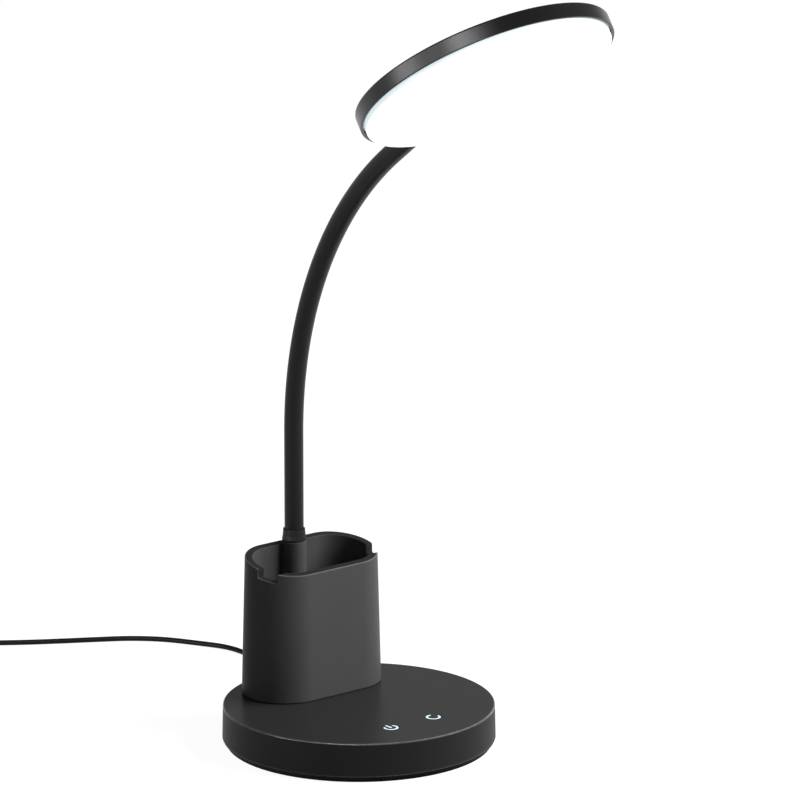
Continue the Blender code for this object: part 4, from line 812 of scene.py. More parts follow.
def rim_path():
    """The rim's outline in (round, height) with its two notches, and where each point stands at the floor."""
    front, back = NOTCH_SIDES
    notch = [rim_corner(front, 0.0, NOTCH_TOP_FILLET)]
    for k in range(5):
        fillet = NOTCH_FLOOR_FILLET if k in (0, 4) else 0.0
        notch.append(rim_corner(front + (back - front) * k / 4.0, NOTCH_DEPTH, fillet))
    notch.append(rim_corner(back, 0.0, NOTCH_TOP_FILLET))
    first, last = notch[0][0], notch[-1][0]
    spare, flat_step, end_step = 1.5 * MM, 2.5 * MM, 1.3 * MM
    far = CUP_HALF_FLAT + CUP_END_RUN
    before = spaced(0.0, CUP_HALF_FLAT, flat_step) + spaced(CUP_HALF_FLAT, first - spare, end_step)
    after = spaced(last + spare, far, end_step) + spaced(far, CUP_ROUND / 2.0, flat_step) + [CUP_ROUND / 2.0]
    half = [(w, rim_at(w), 0.0) for w in before] + notch + [(w, rim_at(w), 0.0) for w in after]
    other = [(CUP_ROUND - w, z, fillet) for w, z, fillet in reversed(half[:-1])]
    coarse = rounded(half + other, 5, 0.0)
    path = []
    for a, b in zip(coarse, coarse[1:]):
        count = max(1, round((b - a).length / (0.9 * MM)) if abs(b.y - a.y) > 0.5 * MM else 1)
        path += [a.lerp(b, i / count) for i in range(count)]
    feet = [p.x for p in path]
    reach = 6.0 * MM
    for low, high in ((first - reach, last + reach), (CUP_ROUND - last - reach, CUP_ROUND - first + reach)):
        inside = [i for i, p in enumerate(path) if low <= p.x <= high]
        start, end = inside[0] - 1, inside[-1] + 1
        runs = [run_length(path[start:i + 1]) for i in range(start, end + 1)]
        for i, run in zip(range(start, end + 1), runs):
            feet[i] = path[start].x + (path[end].x - path[start].x) * run / runs[-1]
    return path, feet


def quarter(steps):
    """1 - sin and 1 - cos over a quarter turn, for a rounded edge."""
    turns = [pi / 2.0 * k / steps for k in range(steps + 1)]
    return [(1.0 - sin(t), 1.0 - cos(t)) for t in turns]


def make_cup(plastic):
    path, feet = rim_path()
    whole = Vector((CUP_ROUND, 0.0))
    ring = [path[-1] - whole, *path, path[0] + whole]
    runs = [(after - before).normalized() for before, after in zip(ring, ring[2:])]
    inward = [Vector((run.y, -run.x)) for run in runs]
    edge, foot, corner = CUP_RIM_EDGE, CUP_FOOT_EDGE, CUP_FLOOR_FILLET

    def lifted(spot, inset):
        """The height at an inset that keeps the rim's land in one sloping plane."""
        step = cup_point(spot.x, spot.y, inset).y - cup_point(spot.x, spot.y, 0.0).y
        return spot.y + step * tan(CUP_RIM_SLOPE)

    def level(z, inset):
        return [cup_point(w, z, inset) for w in feet]

    def at_rim(depth, inset):
        spots = [p + q * depth for p, q in zip(path, inward)]
        return [cup_point(spot.x, lifted(spot, inset), inset) for spot in spots]

    def falling(share, foot_z, inset):
        """A row some share of the way from the rim's edge down to a level one."""
        row = []
        for p, q, w in zip(path, inward, feet):
            spot = p + q * edge
            top = lifted(spot, inset)
            row.append(cup_point(spot.x + (w - spot.x) * share, top + (foot_z - top) * share, inset))
        return row

    shares = (0.003, 0.02, 0.05, 0.1, 0.17, 0.27, 0.4, 0.55, 0.7, 0.85, 1.0)
    rows = [level(CUP_SKIRT_TOP_Z, CUP_WALL), level(CUP_Z, CUP_WALL)]
    rows += [level(CUP_Z + foot * b, foot * a) for a, b in quarter(3)]
    rows += [falling(share, CUP_Z + foot + 0.15 * MM, 0.0) for share in reversed(shares)]
    rows += [at_rim(edge * a, edge * b) for a, b in quarter(5)]
    rows += [at_rim(edge * b, CUP_WALL - edge * a) for a, b in quarter(5)]
    rows += [falling(share, CUP_FLOOR_Z + corner, CUP_WALL) for share in shares]
    rows += [level(CUP_FLOOR_Z + corner * a, CUP_WALL + corner * b) for a, b in quarter(5)[1:]]
    shape = bmesh.new()
    loft_into(shape, rows)
    mouth_z = NECK_FOOT_Z - COLUMN_MOUTH_DEPTH
    column = rounded([
        (COLUMN_BORE_R, CUP_FLOOR_UNDER_Z), (COLUMN_R, CUP_FLOOR_UNDER_Z), (COLUMN_R, NECK_FOOT_Z, 0.5 * MM),
        (COLUMN_MOUTH_R, NECK_FOOT_Z, 0.2 * MM), (COLUMN_MOUTH_R, mouth_z), (COLUMN_BORE_R, mouth_z),
    ])
    turn_into(shape, column, 64, move(0.0, NECK_Y))
    for (x, y), radius, bore in (
        *((place, CUP_SCREW_BOSS_R, SCREW_BORE_R) for place in CUP_SCREWS),
        ((0.0, NECK_Y), COLUMN_FOOT_R, COLUMN_BORE_R),
    ):
        boss = [(bore, CUP_Z), (radius, CUP_Z), (radius, CUP_FLOOR_UNDER_Z), (bore, CUP_FLOOR_UNDER_Z)]
        turn_into(shape, boss, 32, move(x, y))
    settle(built(shape, "pen_cup_shell", plastic, None, 40.0), "base", "satin_black", "pen_cup")


def shape_tree(name, source, sockets, make):
    """A Geometry Nodes tree: named inputs, the shape that a function makes of them, and its material."""
    tree = bpy.data.node_groups.new(name, "GeometryNodeTree")
    add = tree.interface.new_socket
    keys = {}
    for key, kind in {source: "Geometry", **sockets, "Finish": "Material"}.items():
        keys[key] = add(name=key, in_out="INPUT", socket_type="NodeSocket" + kind).identifier
    add(name="Shape", in_out="OUTPUT", socket_type="NodeSocketGeometry")
    maker = Tree(tree)
    given = maker.add("NodeGroupInput", None, source)
    real = maker.add("GeometryNodeRealizeInstances", {"Geometry": make(maker, given)})
    coated = maker.add("GeometryNodeSetMaterial", {"Geometry": real, "Material": given.out("Finish")})
    maker.add("NodeGroupOutput", {"Shape": coated})
    return tree, keys


def grown(data, tree, keys, values, finish):
    """What a node tree makes of mesh data and values, as a bmesh."""
    carrier = placed("carrier", data)
    maker = carrier.modifiers.new("make", "NODES")
    maker.node_group = tree
    for key, value in {**values, "Finish": finish.material}.items():
        maker[keys[key]] = value
    return shape_of(carrier)


def sleeve_wall(maker, given):
    """A closed tube wall along part of a path, its outer radius eased from foot to waist to head."""
    curve = maker.add("GeometryNodeMeshToCurve", {"Mesh": given})
    rings, start = given.out("Rings"), given.out("Path start")
    counts = {"Vertices X": given.out("Sides") + 1, "Vertices Y": rings * 2 + 1}
    grid = maker.add("GeometryNodeMeshGrid", {"Size X": 1.0, "Size Y": 1.0, **counts})
    across, up, _ = maker.parts(grid.out("UV Map"))
    row = (up * (rings * 2)).nearest().remainder(rings * 2)
    inner = row.above(rings - 0.5)
    share = (row + inner * (rings * 2 - 1 - row * 2)) / (rings - 1)
    s = given.out("From") + share * (given.out("To") - given.out("From"))
    along = (s - start) / (given.out("Path end") - start)
    foot, waist, head = given.out("Foot radius"), given.out("Waist radius"), given.out("Head radius")
    outer = foot + (waist - foot) * maker.step(along, 0.0, 0.45)
    outer = outer + (head - waist) * maker.step(along, 0.45, 0.9)
    radius = outer + inner * (given.out("Bore radius") - outer)
    sampled = {"Curves": curve, "Length": s - start}
    centre = maker.add("GeometryNodeSampleCurve", sampled, "Position", mode="LENGTH")
    behind = maker.vectors("CROSS_PRODUCT", {0: centre.out("Tangent"), 1: (1.0, 0.0, 0.0)})
    turn = across * (2.0 * pi)
    sideways = maker.vector(radius * turn.cosine())
    behind = maker.vectors("SCALE", {"Vector": behind, "Scale": radius * turn.sine()})
    spot = maker.vectors("ADD", {0: centre, 1: maker.vectors("ADD", {0: sideways, 1: behind})})
    wall = maker.add("GeometryNodeSetPosition", {"Geometry": grid, "Position": spot})
    return maker.add("GeometryNodeMergeByDistance", {"Geometry": wall, "Distance": WALL_WELD})


def neck_points(start, end, step):
    count = round((end - start) / step)
    return [neck_point(start + (end - start) * i / count) for i in range(count + 1)]


def blend_at(piece, node):
    """Hides the neck's CAD node that a length replaces, and bakes the length's placement into its mesh."""
    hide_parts(node)
    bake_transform(piece)


def make_neck(silicone, wire):
    """The sleeve, and in it the cable from the board into the head, each with one length for each joint."""
    sizes = dict.fromkeys(("From", "To", *SLEEVE_SIZES), "Float")
    tree, keys = shape_tree("sweep_wall", "Path", {**sizes, "Sides": "Int", "Rings": "Int"}, sleeve_wall)
    low, high = SLEEVE_SIZES["Path start"], SLEEVE_SIZES["Path end"]
    line = neck_points(low, high, 2.0 * MM)
    cuts = [low, *((a + b) / 2.0 for a, b in zip(STATIONS, STATIONS[1:])), high]
    for number, (start, end) in enumerate(zip(cuts, cuts[1:])):
        data = bpy.data.meshes.new("neck_line")
        data.from_pydata(line, [(i, i + 1) for i in range(len(line) - 1)], [])
        rings = max(8, round((end - start) / (1.6 * MM)))
        values = {"From": start, "To": end, **SLEEVE_SIZES, "Sides": 64, "Rings": rings}
        name = "sleeve_%d" % (number + 1)
        piece = built(grown(data, tree, keys, values, silicone), name, silicone, None, 50.0)
        blend_at(piece, "neck_sleeve")
    foot = smooth_route([Vector(p) * MM for p in WIRE_ROUTE], 3.0 * MM) + [Vector(p) * MM for p in WIRE_TURN]
    ends = [*cuts[:-1], NECK_TO_RIM + WIRE_IN_HEAD]
    for number, (start, end) in enumerate(zip(ends, ends[1:])):
        points = (foot if number == 0 else []) + neck_points(start, end, 3.0 * MM)
        name = "neck_wire_%d" % (number + 1)
        piece = built(shape_of(placed(name, round_line(name, points, WIRE_R, 2))), name, wire)
        blend_at(piece, "neck_cable")


def make_boot(rubber):
    boot = lathe("neck_collar", rubber, COLLAR, 96, move(0.0, NECK_Y, NECK_FOOT_Z + FIT))
    settle(boot, "base", "sleeve_black", "neck_boot")


def head_top(radius):
    return HEAD_WALL_H + HEAD_DOME * (1.0 - (radius / HEAD_R) ** 2)


def make_head(plastic, milky):
    inner = HEAD_R - HEAD_WALL
    corners = [(r, head_top(r)) for r in HEAD_RADII]
    corners += [
        (HEAD_R, HEAD_WALL_H + 0.02 * MM, 0.9 * MM), (HEAD_R, 0.0, 0.35 * MM), (inner, 0.0, 0.35 * MM),
        (inner, HEAD_WALL_H - HEAD_SKIN, 0.6 * MM),
    ]
    corners += [(r, head_top(r) - HEAD_SKIN) for r in reversed(HEAD_RADII)]
    shell = lathe("head_shell", plastic, corners, 256)
    lying = move(0.0, 0.0, NECK_AXIS_H) @ ALONG_Y
    near, far = HEAD_R - HUMP_LENGTH, HEAD_R - FIT

    def hump(shape):
        """A round-nosed rod, cut off level inside the head's skin."""
        nose = [pi / 2.0 * k / 10.0 for k in range(1, 11)]
        outline = [(0.0, near)] + [(HUMP_R * sin(t), near + HUMP_R * 1.3 * (1.0 - cos(t))) for t in nose]
        outline += [(HUMP_R, far - 0.4 * MM), (HUMP_R - 0.12 * MM, far - 0.12 * MM)]
        outline += [(HUMP_R - 0.4 * MM, far), (0.0, far)]
        turn_into(shape, outline, 64, lying)
        cut = bmesh.ops.bisect_plane(
            shape, geom=[*shape.verts, *shape.edges, *shape.faces], dist=SLIVER,
            plane_co=(0.0, 0.0, HEAD_WALL_H - HEAD_SKIN / 2.0), plane_no=(0.0, 0.0, 1.0), clear_inner=True,
        )
        rim = [e for e in cut["geom_cut"] if isinstance(e, bmesh.types.BMEdge)]
        bmesh.ops.edgeloop_fill(shape, edges=rim)

    def channel(shape):
        start, end = near + CHANNEL_FROM_NOSE, HEAD_R + PAST
        turn_into(shape, [(0.0, start), (CHANNEL_R, start), (CHANNEL_R, end), (0.0, end)], 48, lying)

    carve(shell, "neck_hump", hump, "UNION")
    carve(shell, "neck_channel", channel)
    shell.data.transform(HEAD)
    settle(shell, "head", "satin_black", "head_housing")
    outer = inner - DIFFUSER_GAP
    skirt = outer - DIFFUSER_SKIRT_T
    low = -DIFFUSER_PROUD
    face, top = low + DIFFUSER_T, low + DIFFUSER_SKIRT_H
    lens = [
        (0.0, face), (skirt, face, 0.2 * MM), (skirt, top, 0.2 * MM), (outer, top, 0.2 * MM),
        (outer, low, 0.8 * MM), (0.0, low),
    ]
    settle(lathe("diffuser_lens", milky, lens, 256, HEAD), "head", "milky_white", "diffuser")


def make_relief(rubber):
    """A tapered boot with cut rings where the cord leaves the base."""
    out = BASE_FOOT_R
    end = out + RELIEF_LENGTH
    corners = [(0.0, end), (RELIEF_TIP_R, end, 0.3 * MM)]
    for k in range(RELIEF_RINGS):
        down = (1.7 + 2.4 * k) * MM
        radius = RELIEF_TIP_R + (RELIEF_ROOT_R - RELIEF_TIP_R) * down / RELIEF_TAPER
        for inward, lower in ((0.0, 0.0), (0.65, 0.1), (0.6, 0.9), (-0.1, 1.0)):
            corners.append((radius - inward * MM, end - down - lower * MM, 0.2 * MM))
    inside = out - BASE_WALL - 0.7 * MM
    tenon, flange, back = 2.8 * MM, 4.4 * MM, inside - 1.4 * MM
    corners += [
        (RELIEF_ROOT_R, out + 2.3 * MM, 0.3 * MM), (RELIEF_ROOT_R, out + FIT, 0.15 * MM), (tenon, out + FIT),
        (tenon, inside), (flange, inside, 0.15 * MM), (flange, back, 0.15 * MM), (0.0, back),
    ]
    relief = lathe("cord_relief", rubber, corners, 64, move(0.0, 0.0, CORD_Z) @ ALONG_Y, 35.0, 3)
    settle(relief, "base", "moulded_black", "strain_relief")


def round_box(width, height, corner, y=0.0, middle=(0.0, 0.0), steps=5):
    """A rectangle with rounded corners that stands at a place along Y, its sizes given in millimetres."""
    points = []
    for cx, cy, start in ((1, 1, 0), (-1, 1, 90), (-1, -1, 180), (1, -1, 270)):
        for k in range(steps + 1):
            angle = radians(start + 90.0 * k / steps)
            x = middle[0] + cx * (width / 2.0 - corner) + corner * cos(angle)
            z = middle[1] + cy * (height / 2.0 - corner) + corner * sin(angle)
            points.append((x * MM, y * MM, z * MM))
    return points


def boxes_into(shape, places, size):
    for place in places:
        bmesh.ops.create_cube(shape, size=1.0, matrix=move(*place) @ Matrix.Diagonal((*size, 1.0)))


def make_plug(moulding, plating, tongue_white, gold):
    """The moulded plug with grip ribs, its metal shell with four windows, its tongue and contacts."""
    neck = PLUG_NECK / MM
    sections = []
    for share in (0.0, 0.08, 0.3, 0.6, 0.85):
        width = PLUG_TIP + (PLUG_THROAT[0] - PLUG_TIP) * share
        sections.append(round_box(width, width * 0.98, width * 0.46, 0.3 + 6.6 * share))
    for share in (0.0, 0.12, 0.3, 0.5, 0.75, 1.0):
        grow = sin(share * pi / 2.0) ** 0.7
        size = [a + (b - a) * grow for a, b in zip(PLUG_THROAT, PLUG_FULL)]
        sections.append(round_box(*size, neck - 0.5 + 4.0 * share))
    wide, tall, corner = PLUG_FULL
    for y, inset in PLUG_FRONT:
        sections.append(round_box(wide - 2.0 * inset, tall - 2.0 * inset, corner - inset * 0.6, neck + y))
    shape = bmesh.new()
    loft_into(shape, sections)
    body = built(shape, "plug_body", moulding, PLUG_FRAME, 40.0)
    settle(body, "base", "moulded_black", "usb_plug_body")
    ribs = make_ribs(moulding)
    low = (PLUG_NECK + PLUG_BODY + FIT) / MM
    high = low + SHELL_LENGTH / MM
    wall = 2.0 * SHELL_WALL / MM
    wide, tall, corner = SHELL_MOUTH
    shape = bmesh.new()
    loft_into(shape, [
        round_box(wide, tall, corner, low), round_box(wide, tall, corner, high - 0.15),
        round_box(wide - 0.2, tall - 0.2, 0.5, high), round_box(wide - wall, tall - wall, 0.3, high),
        round_box(wide - wall, tall - wall, 0.3, low),
    ], True)
    shell = built(shape, "plug_shell", plating)
    windows = mm((-2.9, low + 6.2, 0.0), (2.9, low + 6.2, 0.0))
    carve(shell, "shell_windows", lambda tool: boxes_into(tool, windows, WINDOW))
    shell.data.transform(PLUG_FRAME)
    settle(shell, "base", "plated_steel", "usb_plug_shell")
    shape = bmesh.new()
    loft_into(shape, [round_box(*TONGUE_BLOCK, y) for y in (low, low + 2.8)])
    loft_into(shape, [round_box(*TONGUE, y, (0.0, TONGUE_Z)) for y in (low + 2.5, high - 0.5)])
    tongue = settle(built(shape, "plug_tongue", tongue_white, PLUG_FRAME), "base", "connector_white")
    shape = bmesh.new()
    for x, back in CONTACTS:
        boxes_into(shape, mm((x, low + 7.0, -0.12)), (1.0 * MM, (CONTACT_END - back) * MM, 0.16 * MM))
    contacts = settle(built(shape, "plug_contacts", gold, PLUG_FRAME), "base", "plated_steel")
    return [body, ribs, shell, tongue, contacts]


def rib_bars(maker, given):
    """A round bar across the plug at each place."""
    half = given.out("Length") / 2.0
    ends = {"Start": maker.vector(0.0 - half), "End": maker.vector(half)}
    bar = maker.add("GeometryNodeCurvePrimitiveLine", ends)
    radius = given.out("Rib radius")
    ring = maker.add("GeometryNodeCurvePrimitiveCircle", {"Resolution": 12, "Radius": radius})
    solid = maker.add("GeometryNodeCurveToMesh", {"Curve": bar, "Profile Curve": ring, "Fill Caps": True})
    return maker.add("GeometryNodeInstanceOnPoints", {"Points": given, "Instance": solid})


def make_ribs(moulding):
    """Grip ribs on both broad sides of the plug's body."""
    tree, keys = shape_tree("grip_ribs", "Places", dict.fromkeys(RIB_SIZES, "Float"), rib_bars)
    places = bpy.data.meshes.new("rib_places")
    places.from_pydata([(0.0, y, side * RIB_HEIGHT) for side in (-1.0, 1.0) for y in RIB_PLACES], [], [])
    ribs = built(grown(places, tree, keys, RIB_SIZES, moulding), "plug_grip_ribs", moulding, PLUG_FRAME)
    return settle(ribs, "base", "moulded_black")


def make_tie(strap):
    """A hook and loop strap round the coil, with bevelled edges."""
    spare = CORD_R + FIT
    inner, outer = COIL_MEAN_R - COIL_WIDTH / 2.0 - spare, COIL_MEAN_R + COIL_WIDTH / 2.0 + spare
    low, high = COIL_Z - CORD_R - FIT / 2.0, COIL_Z + COIL_STEP * (COIL_LAYERS - 1) + CORD_R + FIT / 2.0
    middle = ((inner + outer) / 2.0 / MM, (low + high) / 2.0 / MM)

    def section(grow, corner, y):
        grow = 2.0 * grow
        return round_box((outer - inner + grow) / MM, (high - low + grow) / MM, corner, y / MM, middle, 6)

    full, slim = (TIE_T, 1.5), (TIE_T - TIE_BEVEL, 1.4)
    bare = (0.0, 1.1)
    shape = bmesh.new()
    loft_into(shape, [
        section(*full, TIE_BEVEL - TIE_EDGE), section(*full, TIE_EDGE - TIE_BEVEL), section(*slim, TIE_EDGE),
        section(*bare, TIE_EDGE), section(*bare, -TIE_EDGE), section(*slim, -TIE_EDGE),
    ], True)
    place = Matrix.Translation(COIL_MIDDLE) @ Matrix.Rotation(TIE_AT, 4, "Z")
    return settle(built(shape, "cord_strap", strap, place), "base", "moulded_black", "coil_tie")


def led_ring(maker, given):
    """Small boxes round a circle, turned to face its middle."""
    count = given.out("Count")
    ring = maker.add("GeometryNodeMeshCircle", {"Vertices": count, "Radius": given.out("Ring radius")})
    turn = maker.vector(0.0, 0.0, maker.add("GeometryNodeInputIndex") / count * (2.0 * pi))
    body = maker.add("GeometryNodeMeshCube", {"Size": given.out("Package")})
    return maker.add("GeometryNodeInstanceOnPoints", {"Points": ring, "Instance": body, "Rotation": turn})


def make_leds(board_white, phosphor):
    """A flexible strip inside the rim with its row of light-emitting diodes."""
    top = STRIP_Z + STRIP_H
    corners = [(STRIP_R - STRIP_T, top), (STRIP_R, top), (STRIP_R, STRIP_Z), (STRIP_R - STRIP_T, STRIP_Z)]
    settle(lathe("led_flex_strip", board_white, corners, 128, HEAD), "head", "led_yellow", "led_strip")
    sockets = {"Count": "Int", "Ring radius": "Float", "Package": "Vector"}
    tree, keys = shape_tree("led_row", "Places", sockets, led_ring)
    values = {"Count": LED_COUNT, "Ring radius": STRIP_R - LED_FROM_STRIP, "Package": LED_SIZE}
    row = grown(bpy.data.meshes.new("led_places"), tree, keys, values, phosphor)
    place = HEAD @ move(0.0, 0.0, STRIP_Z + STRIP_H / 2.0)
    settle(built(row, "led_row", phosphor, place), "head", "led_yellow")


def near_edge(finish, place, radius, height, reach):
    """1 on a turned piece's edge at a radius and a height, and 0 from reach away."""
    x, y, z = finish.parts(place)
    across = ((x * x + y * y).root() - radius) / reach
    up = (z - height) / reach
    return 1.0 - finish.step((across * across + up * up).root(), 0.2, 1.0)


def base_painted_highlights(finish):
    """Painted highlights along the base's top edge, and fainter along the lower edge of its wall."""
    foot = near_edge(finish, finish.place, BASE_FOOT_R, BASE_STEP_Z + 0.1 * MM, 0.5 * MM)
    return near_edge(finish, finish.place, BASE_TOP_R, BASE_TOP_Z, 0.9 * MM) + foot * 0.35


def head_wear(finish):
    """Along the head's outer edges."""
    return near_edge(finish, finish.on_head(), HEAD_R, HEAD_WALL_H, 1.3 * MM)


def rim_places(finish):
    """How far a place is above the cup's sloping rim, and how far inside the cup's outer wall."""
    x, y, z = finish.parts(finish.place)
    rise = z - (y - RIM_FRONT_Y) * tan(CUP_RIM_SLOPE) - RIM_FRONT_Z
    past = (x.absolute() - CUP_HALF_FLAT).at_least(0.0)
    back = y - CUP_Y
    out = (past * past + back * back).root()
    return rise, CUP_END_R - (z - CUP_Z) * (CUP_DRAFT / CUP_FULL_H) - out


def rim_wear_and_highlight(finish):
    """Along the outer edge of the cup's sloping rim and of its notches' floors, painted paler as wear and as
    a painted highlight.
    """
    rise, inside = rim_places(finish)
    aside = (finish.parts(finish.place)[1] - NOTCH_Y).absolute()
    notch = 1.0 - finish.step(aside, NOTCH_WIDTH / 2.0 - 0.3 * MM, NOTCH_WIDTH / 2.0)
    floor_edge = 1.0 - finish.step((rise + NOTCH_DEPTH).absolute(), 0.1 * MM, 0.5 * MM)
    edges = finish.step(rise, -0.6 * MM, -0.1 * MM) + notch * floor_edge * 0.6
    return edges * (1.0 - finish.step(inside, 0.35 * MM, 0.75 * MM))


def shaded(colour, share):
    return tuple(part * share for part in colour)


def base_painted_light_and_shade(finish, colour, gloss, shade):
    """The base's top is painted paler than its wall, as painted light, and is glossier; its recess below is
    painted nearly black, as painted shadow.
    """
    z = finish.parts(finish.place)[2]
    wall = 1.0 - finish.step(z, BASE_TOP_Z - 1.3 * MM, BASE_TOP_Z - 0.7 * MM)
    recess = 1.0 - finish.step(z, BASE_STEP_Z - 0.15 * MM, BASE_STEP_Z + 0.05 * MM)
    # Painted light: the top is paler than the wall.
    colour = finish.mix(1.0 - wall, colour, shaded(shade, 1.8))
    # Painted shadow: the recess below the step is nearly black.
    return finish.mix(recess, colour, shaded(shade, 0.15)), gloss + wall * 0.2


def cup_painted_shade(finish, colour, gloss, shade):
    """The rim's land and the notches' floors and cheeks are painted darker than the cup's face, as painted
    shade.
    """
    rise, inside = rim_places(finish)
    wall = finish.step(inside, 0.35 * MM, 0.75 * MM)
    wall = wall * (1.0 - finish.step(inside, CUP_WALL - 0.4 * MM, CUP_WALL - 0.1 * MM))
    land = finish.step(rise, -NOTCH_DEPTH - 1.0 * MM, -NOTCH_DEPTH - 0.6 * MM) * wall
    # Painted shade on the rim's land.
    return finish.mix(land, colour, shaded(shade, 0.35)), gloss


def moulded(
    name, shade, roughness, edge_wear_and_highlight=None, painted_shading=None, shine=0.09, paler=2.0, polish=0.0, depth=0.008 * MM
):
    """Black injection-moulded plastic: a spark-eroded texture, uneven gloss and paler, polished edges, which
    are paler as wear and, on some pieces, as a painted highlight.

    One function given may paint light and shade into the colour of some places and change their gloss, and
    another says where the edges are.
    """
    made = Finish(name, Specular_IOR_Level=shine)
    cloud = made.grain(38.0 * MM, 3.0)
    speck = made.grain(1.1 * MM, 2.0, 0.6)
    colour = made.mix(cloud * 0.6 + speck * 0.4, shaded(shade, 0.82), shaded(shade, 1.2))
    gloss = (cloud - 0.5) * 0.10 + (speck - 0.5) * 0.08 + roughness
    # Painted light and shade in some places, with their gloss.
    if painted_shading:
        colour, gloss = painted_shading(made, colour, gloss, shade)
    if edge_wear_and_highlight:
        mask = edge_wear_and_highlight(made) * (made.step(made.grain(6.0 * MM, 4.0, 0.65), 0.38, 0.72) * 0.4 + 0.6)
        if polish:
            made.set("Coat Weight", mask * polish)
            made.set("Coat Roughness", 0.2)
        # The edges painted paler: wear, and with a large paler a painted highlight.
        colour = made.mix(mask, colour, shaded(shade, paler))
        gloss = gloss - mask * 0.14
    return made.coat(colour, gloss, made.grain(0.35 * MM, 2.0, 0.6), depth)


def soft_rubber(name, shade, roughness, size=0.5 * MM, depth=0.015 * MM, dust=0.25, shine=0.2):
    """Matt black silicone or rubber with a bloom of fine dust."""
    made = Finish(name, Specular_IOR_Level=shine)
    cloud = made.grain(24.0 * MM, 4.0, 0.6)
    colour = made.mix(made.step(cloud, 0.45, 0.8) * dust, shade, shaded(shade, 2.6))
    return made.coat(colour, (cloud - 0.5) * 0.16 + roughness, made.grain(size, 3.0, 0.6), depth)


def metal(name, shade, roughness, brushed=(1.0, 1.0, 1.0), tarnish=0.12):
    """Bare or plated metal with uneven polish."""
    made = Finish(name, Metallic=1.0)
    cloud = made.grain(9.0 * MM, 4.0, 0.6)
    colour = made.mix(made.step(cloud, 0.35, 0.75) * tarnish * 4.0, shade, shaded(shade, 0.62))
    streak = made.grain(0.4 * MM, 2.0, 0.6, made.mapped(Scale=brushed))
    return made.coat(colour, (cloud - 0.5) * 0.2 + roughness, streak, 0.006 * MM)


def pale(name, shade, roughness, **sockets):
    """Pale plastic or card, slightly cloudy."""
    made = Finish(name, **sockets)
    size = 1.5 * MM
    spread = 0.05
    cloud = made.grain(size * 14.0, 3.0)
    light = tuple(min(1.0, c + spread) for c in shade)
    colour = made.mix(cloud, tuple(c - spread for c in shade), light)
    return made.coat(colour, (cloud - 0.5) * 0.12 + roughness, made.grain(size, 2.0), 0.004 * MM)


def make_board_finish():
    """Green board lacquer with copper tracks showing through as paler lines."""
    made = Finish("board_green_lacquer")
    tracks = 1.0 - made.step(made.cells("DISTANCE_TO_EDGE", made.place, 3.2 * MM, 0.55), 0.04, 0.09)
    colour = made.mix(tracks, (0.012, 0.085, 0.035), (0.03, 0.17, 0.07))
    return made.coat(colour, made.grain(4.0 * MM) * 0.15 + 0.3, tracks, 0.03 * MM)


def make_guide_finish():
    """Clear acrylic printed with a grid of white dots."""
    made = Finish("light_guide_acrylic", IOR=1.49)
    dot = 1.0 - made.step(made.cells("F1", made.on_head(), 1.4 * MM, 0.0), 0.22, 0.30)
    colour = made.mix(dot, (0.80, 0.86, 0.88), (0.95, 0.96, 0.96))
    return made.coat(colour, dot * 0.45 + 0.08, dot, 0.01 * MM)


def make_milky_finish():
    """The lit diffuser: white on its face, its moulded side cooler and dimmer."""
    made = Finish("lit_milky_diffuser", Emission_Strength=1.0)
    side = made.step(made.parts(made.on_head())[2], -2.2 * MM, -1.6 * MM)
    cloud = made.grain(9.0 * MM)
    colour = made.mix(side, (0.80, 0.81, 0.82), (0.50, 0.55, 0.58))
    made.set("Emission Color", made.mix(side + cloud * 0.04, (0.95, 0.97, 1.0), (0.66, 0.74, 0.78)))
    return made.coat(colour, cloud * 0.12 + 0.38, made.grain(0.5 * MM), 0.006 * MM)


def make_lit_icon_finish():
    """The lit icon strokes, a cool white glow through clear plastic."""
    made = Finish("lit_icon_white", Emission_Strength=1.0)
    cloud = made.grain(2.5 * MM)
    colour = made.mix(cloud, (0.48, 0.56, 0.60), (0.58, 0.66, 0.70))
    made.set("Emission Color", made.mix(cloud, (0.52, 0.70, 0.80), (0.62, 0.80, 0.90)))
    return made.coat(colour, cloud * 0.1 + 0.3, made.grain(0.4 * MM), 0.003 * MM)


# The base's edges are painted far paler, as painted highlights.
base_plastic = moulded(
    "satin_black_base", (0.018, 0.018, 0.0185), 0.30, base_painted_highlights, base_painted_light_and_shade, paler=11.0, polish=1.0
)
# The cup's copy of the black plastic is painted lighter than the base's: painted light.
cup_plastic = moulded(
    "satin_black_cup_painted_lighter", (0.078, 0.078, 0.079), 0.44, rim_wear_and_highlight, cup_painted_shade, shine=0.03, polish=0.5
)
# The head's copy of the black plastic is painted darker than the base's: painted shade.
head_plastic = moulded(
    "satin_black_head_painted_darker", (0.008, 0.008, 0.0085), 0.30, head_wear, shine=0.25, depth=0.001 * MM
)
cover_plastic = moulded("black_cover_plastic", (0.007, 0.007, 0.007), 0.6, depth=0.02 * MM)
plug_plastic = moulded("black_plug_moulding", (0.015, 0.015, 0.015), 0.5, shine=0.3, depth=0.02 * MM)
silicone = soft_rubber("black_silicone_sleeve", (0.011, 0.011, 0.0115), 0.38, shine=0.15)
pad_rubber = soft_rubber("foot_pad_rubber", (0.009, 0.009, 0.009), 0.8, 0.8 * MM, 0.03 * MM, 0.4, 0.1)
relief_rubber = soft_rubber("relief_rubber", (0.015, 0.015, 0.015), 0.55)
collar_rubber = soft_rubber("collar_rubber", (0.016, 0.016, 0.016), 0.5)
cord_skin = soft_rubber("cord_black_vinyl", (0.007, 0.007, 0.0075), 0.4, 0.7 * MM, 0.01 * MM, 0.25, 0.12)
strap_nylon = soft_rubber("strap_black_nylon", (0.02, 0.02, 0.021), 0.75, 0.6 * MM, 0.12 * MM, 0.5)
plated = metal("plated_steel", (0.56, 0.55, 0.53), 0.28)
